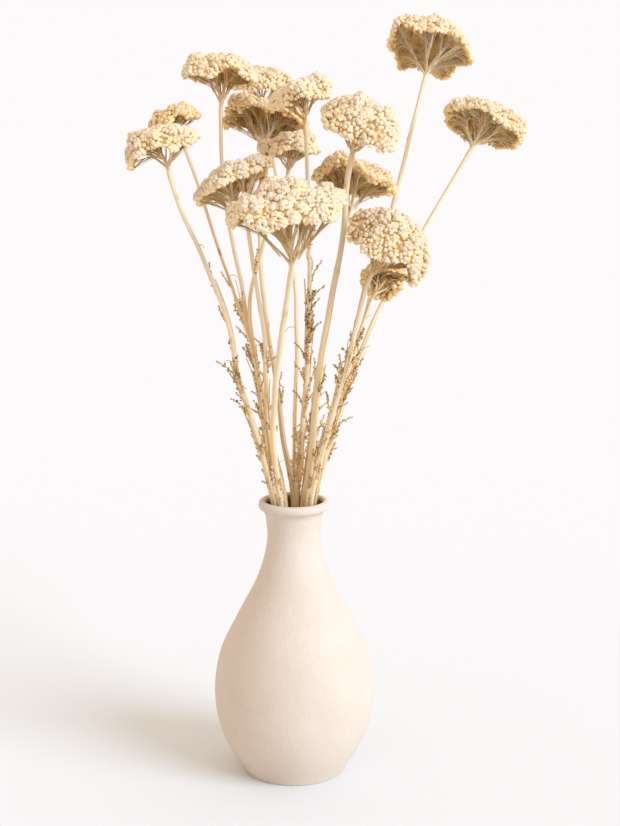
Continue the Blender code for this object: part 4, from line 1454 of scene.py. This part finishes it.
def math_node(tree, operation, first, second):
    """A Math node whose inputs are sockets or numbers."""
    node = tree.nodes.new("ShaderNodeMath")
    node.operation = operation
    for socket, value in zip(node.inputs, (first, second)):
        if isinstance(value, (int, float)):
            socket.default_value = value
        else:
            tree.links.new(value, socket)
    return node.outputs["Value"]


def swing(tree, value, middle, size):
    """(value - middle) times size."""
    return math_node(tree, "MULTIPLY", math_node(tree, "SUBTRACT", value, middle), size)


def stretched(tree, vector, scale, rotation=(0.0, 0.0, 0.0)):
    """A direction or place, scaled along each axis and turned."""
    node = tree.nodes.new("ShaderNodeMapping")
    node.inputs["Scale"].default_value = scale
    node.inputs["Rotation"].default_value = rotation
    tree.links.new(vector, node.inputs["Vector"])
    return node.outputs["Vector"]


def mark(tree, name, output="Fac"):
    """One of the piece's own marks."""
    node = tree.nodes.new("ShaderNodeAttribute")
    node.attribute_name = name
    return node.outputs[output]


def bump(tree, shader, height, distance, strength):
    """A bump from a height into the shader's normal."""
    node = tree.nodes.new("ShaderNodeBump")
    node.inputs["Distance"].default_value = distance
    node.inputs["Strength"].default_value = strength
    tree.links.new(height, node.inputs["Height"])
    tree.links.new(node.outputs["Normal"], shader.inputs["Normal"])


def between(first, second, share):
    """The colour that lies that share of the way from the first to the second."""
    return tuple(a + (b - a) * share for a, b in zip(first, second))


# Drifts of tone: slow patches and fine flecks to the metre, and the flecks' share
CLAY_MOTTLES = (28.0, 240.0, 0.3)
CLAY_GRIT = (420.0, 1100.0, 0.45)
STRAW_STREAKS = (1.3, 4.5, 0.55)
FLORET_PATCHES = (60.0, 900.0, 0.4)
UNDER_STREAKS = (26.0, 70.0, 0.5)

CLAY_ROUGHNESS = 0.9
CLAY_GLOSS = 0.15
MOTTLE_DEPTH = 0.06
GRIT_TURN = (0.3, 0.5, 0.6)
GRIT_SCALE = (1.0, 1.0, 0.6)


def clay_material(looks):
    """Unglazed cream clay: slow mottles, painted shade on the wall inside the mouth, and fine grit that lies
    aslant.
    """
    material, tree, shader = new_material("bisque clay", CLAY_ROUGHNESS, CLAY_GLOSS)
    place = tree.nodes.new("ShaderNodeTexCoord").outputs["Object"]
    colour = ramp(tree, "mottles", drift(tree, place, *CLAY_MOTTLES), (
        (0.30, between(looks.clay_colour, BLACK, MOTTLE_DEPTH)),
        (0.70, between(looks.clay_colour, WHITE, MOTTLE_DEPTH)),
    ))
    # Painted shade: the inside mark darkens the wall inside the mouth towards the inside colour
    inside_shade_mix = add_node(tree, "ShaderNodeMix", "shadowed inside", data_type="RGBA")
    tree.links.new(mark(tree, "inside"), inside_shade_mix.inputs["Factor"])
    tree.links.new(colour, inside_shade_mix.inputs["A"])
    inside_shade_mix.inputs["B"].default_value = (*looks.inside_colour, 1.0)
    tree.links.new(inside_shade_mix.outputs["Result"], shader.inputs["Base Color"])
    grit = drift(tree, stretched(tree, place, GRIT_SCALE, GRIT_TURN), *CLAY_GRIT)
    bump(tree, shader, grit, looks.clay_grain, 1.0)
    return material


STRAW_ROUGHNESS = 0.62
STRAW_GLOSS = 0.15
STREAK_STRETCH = (1.0, 1.0, 24.0)
STREAK_HEIGHT = 0.25 * MM
STREAK_BUMP = 0.6


def straw_material(looks):
    """Dry straw: long streaks that follow the stalk, browned at joints and leaf remains, with painted shade
    in the grooves.
    """
    material, tree, shader = new_material("dry straw", STRAW_ROUGHNESS, STRAW_GLOSS)
    streaks = drift(tree, stretched(tree, mark(tree, "grain", "Vector"), STREAK_STRETCH), *STRAW_STREAKS)
    tone = math_node(tree, "ADD", mark(tree, "tone"), swing(tree, streaks, 0.5, looks.streaks))
    colour = ramp(tree, "straw tones", tone, (
        (0.0, looks.pale_straw),
        (0.45, looks.straw),
        (0.75, looks.tan),
        (1.0, looks.brown),
    ))
    tree.links.new(colour, shader.inputs["Base Color"])
    bump(tree, shader, streaks, STREAK_HEIGHT, STREAK_BUMP)
    return material


# The florets' finish: how much of their tone each of their marks gives, and their relief
FLORET_ROUGHNESS = 0.9
FLORET_GLOSS = 0.12
TIP_SHARE = 0.82
DRAW_SHARE = 0.22
PATCH_SHARE = 0.3
EXPOSURE_MIDDLE = 0.6
EXPOSURE_SHARE = 0.4
SHEEN_ROUGHNESS = 0.5
PETAL_GRIT = 0.3
PETAL_HEIGHT = 0.4 * MM
PETAL_BUMP = 0.35


def floret_material(name, looks, browned_and_shaded):
    """Papery florets: ochre at the calyx and between petals, cream on the petals and a darker ivory at their
    tips. These are partly the florets' own colours and partly painted light and shade: the tips are painted
    darker than the sides to offset the light they catch, and the sides and seams lighter and warmer in place
    of light that passes through the petals.

    The tone is the sum of the tip, the floret's own draw, slow patches, how high it lies on its cymes and
    clusters, which is painted shade on the low ones, and streaks along the rays that fade out towards the
    tips.
    """
    material, tree, shader = new_material("florets " + name, FLORET_ROUGHNESS, FLORET_GLOSS)
    place = tree.nodes.new("ShaderNodeTexCoord").outputs["Object"]
    patches = drift(tree, place, *FLORET_PATCHES)
    tip = math_node(tree, "MULTIPLY", mark(tree, "tip"), TIP_SHARE)
    draw = swing(tree, mark(tree, "draw"), 0.5, DRAW_SHARE)
    patch = swing(tree, patches, 0.5, PATCH_SHARE)
    # Painted shade: florets low between cymes and clusters are darker, high ones lighter
    exposed = swing(tree, mark(tree, "exposure"), EXPOSURE_MIDDLE, EXPOSURE_SHARE)
    below = math_node(tree, "SUBTRACT", 1.0, mark(tree, "tip"))
    streaks = drift(tree, mark(tree, "ray", "Vector"), *UNDER_STREAKS)
    streak = swing(tree, streaks, 0.5, math_node(tree, "MULTIPLY", below, looks.streaks))
    tone = math_node(tree, "ADD", math_node(tree, "ADD", tip, draw), math_node(tree, "ADD", patch, exposed))
    # Browner heads are mixed towards the dried ochre: partly their dried colour, partly painted shade on
    # heads that lie in shade
    share = looks.browning * browned_and_shaded
    # Painted light and shade by height on the floret: tops darkened against the key light, sides and seams
    # lightened and warmed in place of light through the petals
    colour = ramp(tree, "floret tones", math_node(tree, "ADD", tone, streak), (
        (0.0, looks.calyx),
        (0.34, between(looks.ochre, looks.dried, 0.5 * share)),
        (0.62, between(looks.cream, looks.ochre, share)),
        (0.88, between(looks.ivory, looks.dried, share)),
    ))
    tree.links.new(colour, shader.inputs["Base Color"])
    shader.inputs["Sheen Weight"].default_value = looks.sheen
    shader.inputs["Sheen Roughness"].default_value = SHEEN_ROUGHNESS
    shader.inputs["Sheen Tint"].default_value = (*looks.cream, 1.0)
    grit = math_node(tree, "ADD", math_node(tree, "MULTIPLY", patches, PETAL_GRIT), streak)
    bump(tree, shader, grit, PETAL_HEIGHT, PETAL_BUMP)
    return material


# Settings that a user would change


class VaseLooks(bpy.types.PropertyGroup):
    """Sizes and colours of the vase."""

    segments: IntProperty(name="Segments", description="Faces round the vase", default=128, min=24)
    steps: IntProperty(name="Steps", description="Rings from foot to lip", default=110, min=20)
    wobble: FloatProperty(name="Wobble", description="Unevenness of the hand turned wall",
                          default=0.003, min=0)
    clay_colour: FloatVectorProperty(name="Clay", description="Colour of the bisque clay", subtype="COLOR",
                                     default=(0.69, 0.577, 0.465))
    # The inside colour is painted shade on the wall inside the mouth
    inside_colour: FloatVectorProperty(name="Inside", description="Colour of the shadowed wall inside",
                                       subtype="COLOR", default=(0.16, 0.10, 0.055))
    clay_grain: FloatProperty(name="Grain", description="Depth of the clay's grain", default=0.42 * MM,
                              unit="LENGTH", precision=5)


class StalkLooks(bpy.types.PropertyGroup):
    """Colours of the stems, rays and leaf remains."""

    streaks: FloatProperty(name="Streaks", description="Strength of the streaks along a stalk",
                           default=1.3, min=0)
    pale_straw: FloatVectorProperty(name="Pale straw", description="Lightest straw", subtype="COLOR",
                                    default=(0.80, 0.66, 0.45))
    straw: FloatVectorProperty(name="Straw", description="Main colour of the stems", subtype="COLOR",
                               default=(0.75, 0.512, 0.24))
    tan: FloatVectorProperty(name="Tan", description="Rays and leaf remains", subtype="COLOR",
                             default=(0.60, 0.372, 0.135))
    brown: FloatVectorProperty(name="Brown", description="Scars and grooves", subtype="COLOR",
                               default=(0.15, 0.072, 0.022))


class HeadLooks(bpy.types.PropertyGroup):
    """Sizes and colours of the florets."""

    floret_spacing: FloatProperty(name="Spacing", description="Distance between florets", default=2.5 * MM,
                                  unit="LENGTH", precision=5)
    floret_radius: FloatProperty(name="Radius", description="Radius of a floret", default=1.74 * MM,
                                 unit="LENGTH", precision=5)
    # Browning scales each head's browned value, which is dried colour and painted shade together
    browning: FloatProperty(name="Browning", description="How brown the driest heads have turned",
                            default=0.6, min=0, max=1)
    sheen: FloatProperty(name="Sheen", description="Soft light on the petals' rims",
                         default=0.05, min=0, max=1)
    streaks: FloatProperty(name="Streaks", description="Strength of the streaks under the florets",
                           default=1.3, min=0)
    # Calyx, ochre and cream are the florets' colours, lightened in the seams as painted light through the
    # petals; the ivory tips are painted darker than the cream to offset the light they catch
    calyx: FloatVectorProperty(name="Calyx", description="The floret's cup", subtype="COLOR",
                               default=(0.78, 0.49, 0.18))
    ochre: FloatVectorProperty(name="Ochre", description="Between the petals", subtype="COLOR",
                               default=(0.84, 0.585, 0.25))
    cream: FloatVectorProperty(name="Cream", description="The petals", subtype="COLOR",
                               default=(0.965, 0.785, 0.505))
    ivory: FloatVectorProperty(name="Ivory", description="The petals' tips", subtype="COLOR",
                               default=(0.75, 0.61, 0.445))
    dried: FloatVectorProperty(name="Dried", description="The ochre of the driest heads", subtype="COLOR",
                               default=(0.68, 0.44, 0.19))


class StageLooks(bpy.types.PropertyGroup):
    """Floor, light and backdrop."""

    floor_colour: FloatVectorProperty(name="Floor", description="Colour of the floor", subtype="COLOR",
                                      default=(0.7595, 0.7728, 0.7638))
    floor_radius: FloatProperty(name="Floor radius", description="Radius of the floor",
                                default=40.0, unit="LENGTH")
    key_light: FloatVectorProperty(name="Key", description="Light from the key on a surface that faces it",
                                   default=(0.68, 0.84, 1.06))
    key_bearing: FloatProperty(name="Key bearing",
                               description="Turn of the key light to the right of the viewer",
                               default=math.radians(56), subtype="ANGLE")
    key_height: FloatProperty(name="Key elevation", description="Height angle of the key light",
                              default=math.radians(27), subtype="ANGLE")
    key_softness: FloatProperty(name="Key softness", description="Width of the key light as it is seen",
                                default=math.radians(38), subtype="ANGLE")
    front_light: FloatVectorProperty(name="Front fill", description="Light from the viewer's side",
                                     default=(0.80, 0.68, 0.585))
    fill_bearing: FloatProperty(name="Fill bearing",
                                description="Turn of the brighter fill to the right of the back",
                                default=math.radians(0), subtype="ANGLE")
    back_light: FloatVectorProperty(name="Back fill", description="Light from behind the object",
                                    default=(1.15, 1.035, 0.955))


# Operators


class YARROW_OT_vase(bpy.types.Operator):
    """Turn the vase as one fine surface in unglazed clay."""

    bl_idname = "yarrow.vase"
    bl_label = "Turn the vase"

    def execute(self, context):
        looks = context.scene.vase_looks
        whole = turned(vase_outline(looks.steps), looks.segments, looks.wobble)
        make_piece("turned_vase", whole, clay_material(looks), ["vase"])
        return {"FINISHED"}


class YARROW_OT_stalks(bpy.types.Operator):
    """Grow every stalk: its stem, rays, pedicels and leaf remains."""

    bl_idname = "yarrow.stalks"
    bl_label = "Grow the stalks"

    def execute(self, context):
        material = straw_material(context.scene.stalk_looks)
        shreds = shred_ribs()
        for name, flower in FLOWERS.items():
            layout = head_layout(name, flower, context.scene.head_looks)
            parts = [stem_surface(name, flower)] + ray_surfaces(name, flower, layout)
            parts += strand_surfaces(name, flower) + tendril_surfaces(name, flower)
            ribs, pales = remain_ribs(name, flower)
            for rib in shreds[name]:
                knots = np.column_stack([np.linspace(0, 1, len(rib)), rib])
                ribs.append(cubic_through(knots, np.linspace(0, 1, LEAF_RINGS))[None])
                pales.append(np.zeros(1))
            if ribs:
                leaves = draws_for(name + " leaves")
                parts += leaf_surfaces(np.concatenate(ribs), np.concatenate(pales), leaves)
            make_piece("stalk_" + name, joined(parts), material, ["stem_" + name])
        return {"FINISHED"}


class YARROW_OT_heads(bpy.types.Operator):
    """Cover every head with its crust of florets."""

    bl_idname = "yarrow.heads"
    bl_label = "Set the florets"

    def execute(self, context):
        looks = context.scene.head_looks
        for name, flower in FLOWERS.items():
            layout = head_layout(name, flower, looks)
            material = floret_material(name, looks, flower["browned_and_shaded"])
            whole = head_surface(name, flower, layout)
            make_piece("florets_" + name, whole, material, ["head_" + name])
        return {"FINISHED"}


# The stage
FLOOR_SIDES = 128
FLOOR_RINGS = (0.1, 0.2, 0.4, 0.8, 1.6, 3.2, 6.4, 12.8)
CAMERA_PLACE = (0.0125, -1.2, 0.524)
CAMERA_TILT = math.radians(90 - 11.1)
CAMERA_LENS = 69.2
CAMERA_SENSOR = 36.0


def placed(scene, name, data):
    """A new object with that data, in the scene."""
    thing = bpy.data.objects.new(name, data)
    scene.collection.objects.link(thing)
    return thing


def floor_surface(radius):
    """A level disc: rings at set distances, turned about Z and closed at its middle."""
    reach = np.array([*FLOOR_RINGS, radius])[:, None]
    angles = ring_angles(FLOOR_SIDES)
    level = np.zeros((len(reach), FLOOR_SIDES))
    rings = np.stack([reach * np.cos(angles), reach * np.sin(angles), level], -1)
    grid, beside, sheet = sheet_on(len(reach), FLOOR_SIDES)
    points = np.concatenate([rings.reshape(-1, 3), np.zeros((1, 3))])
    return points, np.concatenate([sheet, fan_to(grid.size, grid[0], beside[0])])


def lay_floor(scene, looks):
    """The pale floor."""
    points, triangles = floor_surface(looks.floor_radius)
    mesh = bpy.data.meshes.new("floor")
    mesh.from_pydata(points.tolist(), [], triangles.tolist())
    material, _, shader = new_material("pale floor", 1.0, 0.0)
    shader.inputs["Base Color"].default_value = (*looks.floor_colour, 1.0)
    mesh.materials.append(material)
    return placed(scene, "floor", mesh)


def hang_key(scene, looks):
    """The key light, a soft sun that shines from its bearing and height."""
    light = np.array(looks.key_light)
    key = bpy.data.lights.new("key", "SUN")
    key.angle = looks.key_softness
    key.energy = math.pi * light.max()
    key.color = light / light.max()
    level = math.cos(looks.key_height)
    towards = Vector((
        level * math.sin(looks.key_bearing),
        -level * math.cos(looks.key_bearing),
        math.sin(looks.key_height),
    ))
    placed(scene, "key", key).rotation_euler = towards.to_track_quat("Z", "Y").to_euler()


def light_room(scene, looks):
    """The soft room: a fill that grows from front to back, seen by the camera as the floor's own colour.

    The floor's colour in sight is its own times (fill + key sin(height)).
    """
    world = bpy.data.worlds.new("soft room")
    scene.world = world
    world.use_nodes = True
    tree = world.node_tree
    room = tree.nodes["Background"]
    towards_back = tree.nodes.new("ShaderNodeVectorMath")
    towards_back.operation = "DOT_PRODUCT"
    tree.links.new(tree.nodes.new("ShaderNodeTexCoord").outputs["Generated"], towards_back.inputs[0])
    towards_back.inputs[1].default_value = (math.sin(looks.fill_bearing), math.cos(looks.fill_bearing), 0)
    share = math_node(tree, "MULTIPLY_ADD", towards_back.outputs["Value"], 0.5)
    share.node.inputs[2].default_value = 0.5
    fill = ramp(tree, "front to back", share, ((0.0, looks.front_light), (1.0, looks.back_light)))
    tree.links.new(fill, room.inputs["Color"])
    backdrop = tree.nodes.new("ShaderNodeBackground")
    fill_light = 0.5 * (np.array(looks.front_light) + np.array(looks.back_light))
    light = fill_light + np.array(looks.key_light) * math.sin(looks.key_height)
    backdrop.inputs["Color"].default_value = (*(np.array(looks.floor_colour) * light), 1.0)
    path = tree.nodes.new("ShaderNodeLightPath")
    mix = tree.nodes.new("ShaderNodeMixShader")
    tree.links.new(path.outputs["Is Camera Ray"], mix.inputs["Fac"])
    tree.links.new(room.outputs["Background"], mix.inputs[1])
    tree.links.new(backdrop.outputs["Background"], mix.inputs[2])
    tree.links.new(mix.outputs["Shader"], tree.nodes["World Output"].inputs["Surface"])


def set_camera(scene):
    """The camera, where the ellipses of the photo's foot and mouth put it."""
    camera = bpy.data.cameras.new("camera")
    camera.lens = CAMERA_LENS
    camera.sensor_width = CAMERA_SENSOR
    camera.sensor_fit = "AUTO"
    eye = placed(scene, "camera", camera)
    eye.location = CAMERA_PLACE
    eye.rotation_euler = (CAMERA_TILT, 0, 0)
    scene.camera = eye


class YARROW_OT_stage(bpy.types.Operator):
    """Set up the pale floor, the soft key light, the fill and the camera."""

    bl_idname = "yarrow.stage"
    bl_label = "Set the stage"

    def execute(self, context):
        scene = context.scene
        looks = scene.stage_looks
        floor = lay_floor(scene, looks)
        hang_key(scene, looks)
        light_room(scene, looks)
        set_camera(scene)
        scene.view_settings.view_transform = "Standard"
        return {"FINISHED"}


class YARROW_PT_panel(bpy.types.Panel):
    """Steps that dress the vase of dried yarrow."""

    bl_idname = "YARROW_PT_panel"
    bl_label = "Vase of dried yarrow"
    bl_space_type = "VIEW_3D"
    bl_region_type = "UI"
    bl_category = "Yarrow"

    def draw(self, context):
        layout = self.layout
        for settings, _, operator in STEPS:
            box = layout.box()
            looks = getattr(context.scene, settings)
            for key in looks.__annotations__:
                box.prop(looks, key)
            box.operator(operator.bl_idname)


# The steps in order: the scene's settings for each, what they are, and the operator
STEPS = (
    ("stage_looks", StageLooks, YARROW_OT_stage),
    ("vase_looks", VaseLooks, YARROW_OT_vase),
    ("stalk_looks", StalkLooks, YARROW_OT_stalks),
    ("head_looks", HeadLooks, YARROW_OT_heads),
)
CLASSES = (
    *(looks for _, looks, _ in STEPS),
    *(operator for _, _, operator in STEPS),
    YARROW_PT_panel,
)


def register():
    """Make the settings, operators and panel known to Blender."""
    for cls in CLASSES:
        bpy.utils.register_class(cls)
    for settings, looks, _ in STEPS:
        setattr(bpy.types.Scene, settings, PointerProperty(type=looks))


def unregister():
    """Take them away again."""
    for settings, _, _ in STEPS:
        delattr(bpy.types.Scene, settings)
    for cls in reversed(CLASSES):
        bpy.utils.unregister_class(cls)


def main():
    """Build everything in order."""
    register()
    bpy.ops.yarrow.stage()
    bpy.ops.yarrow.vase()
    bpy.ops.yarrow.stalks()
    bpy.ops.yarrow.heads()


if __name__ == "__main__":
    main()
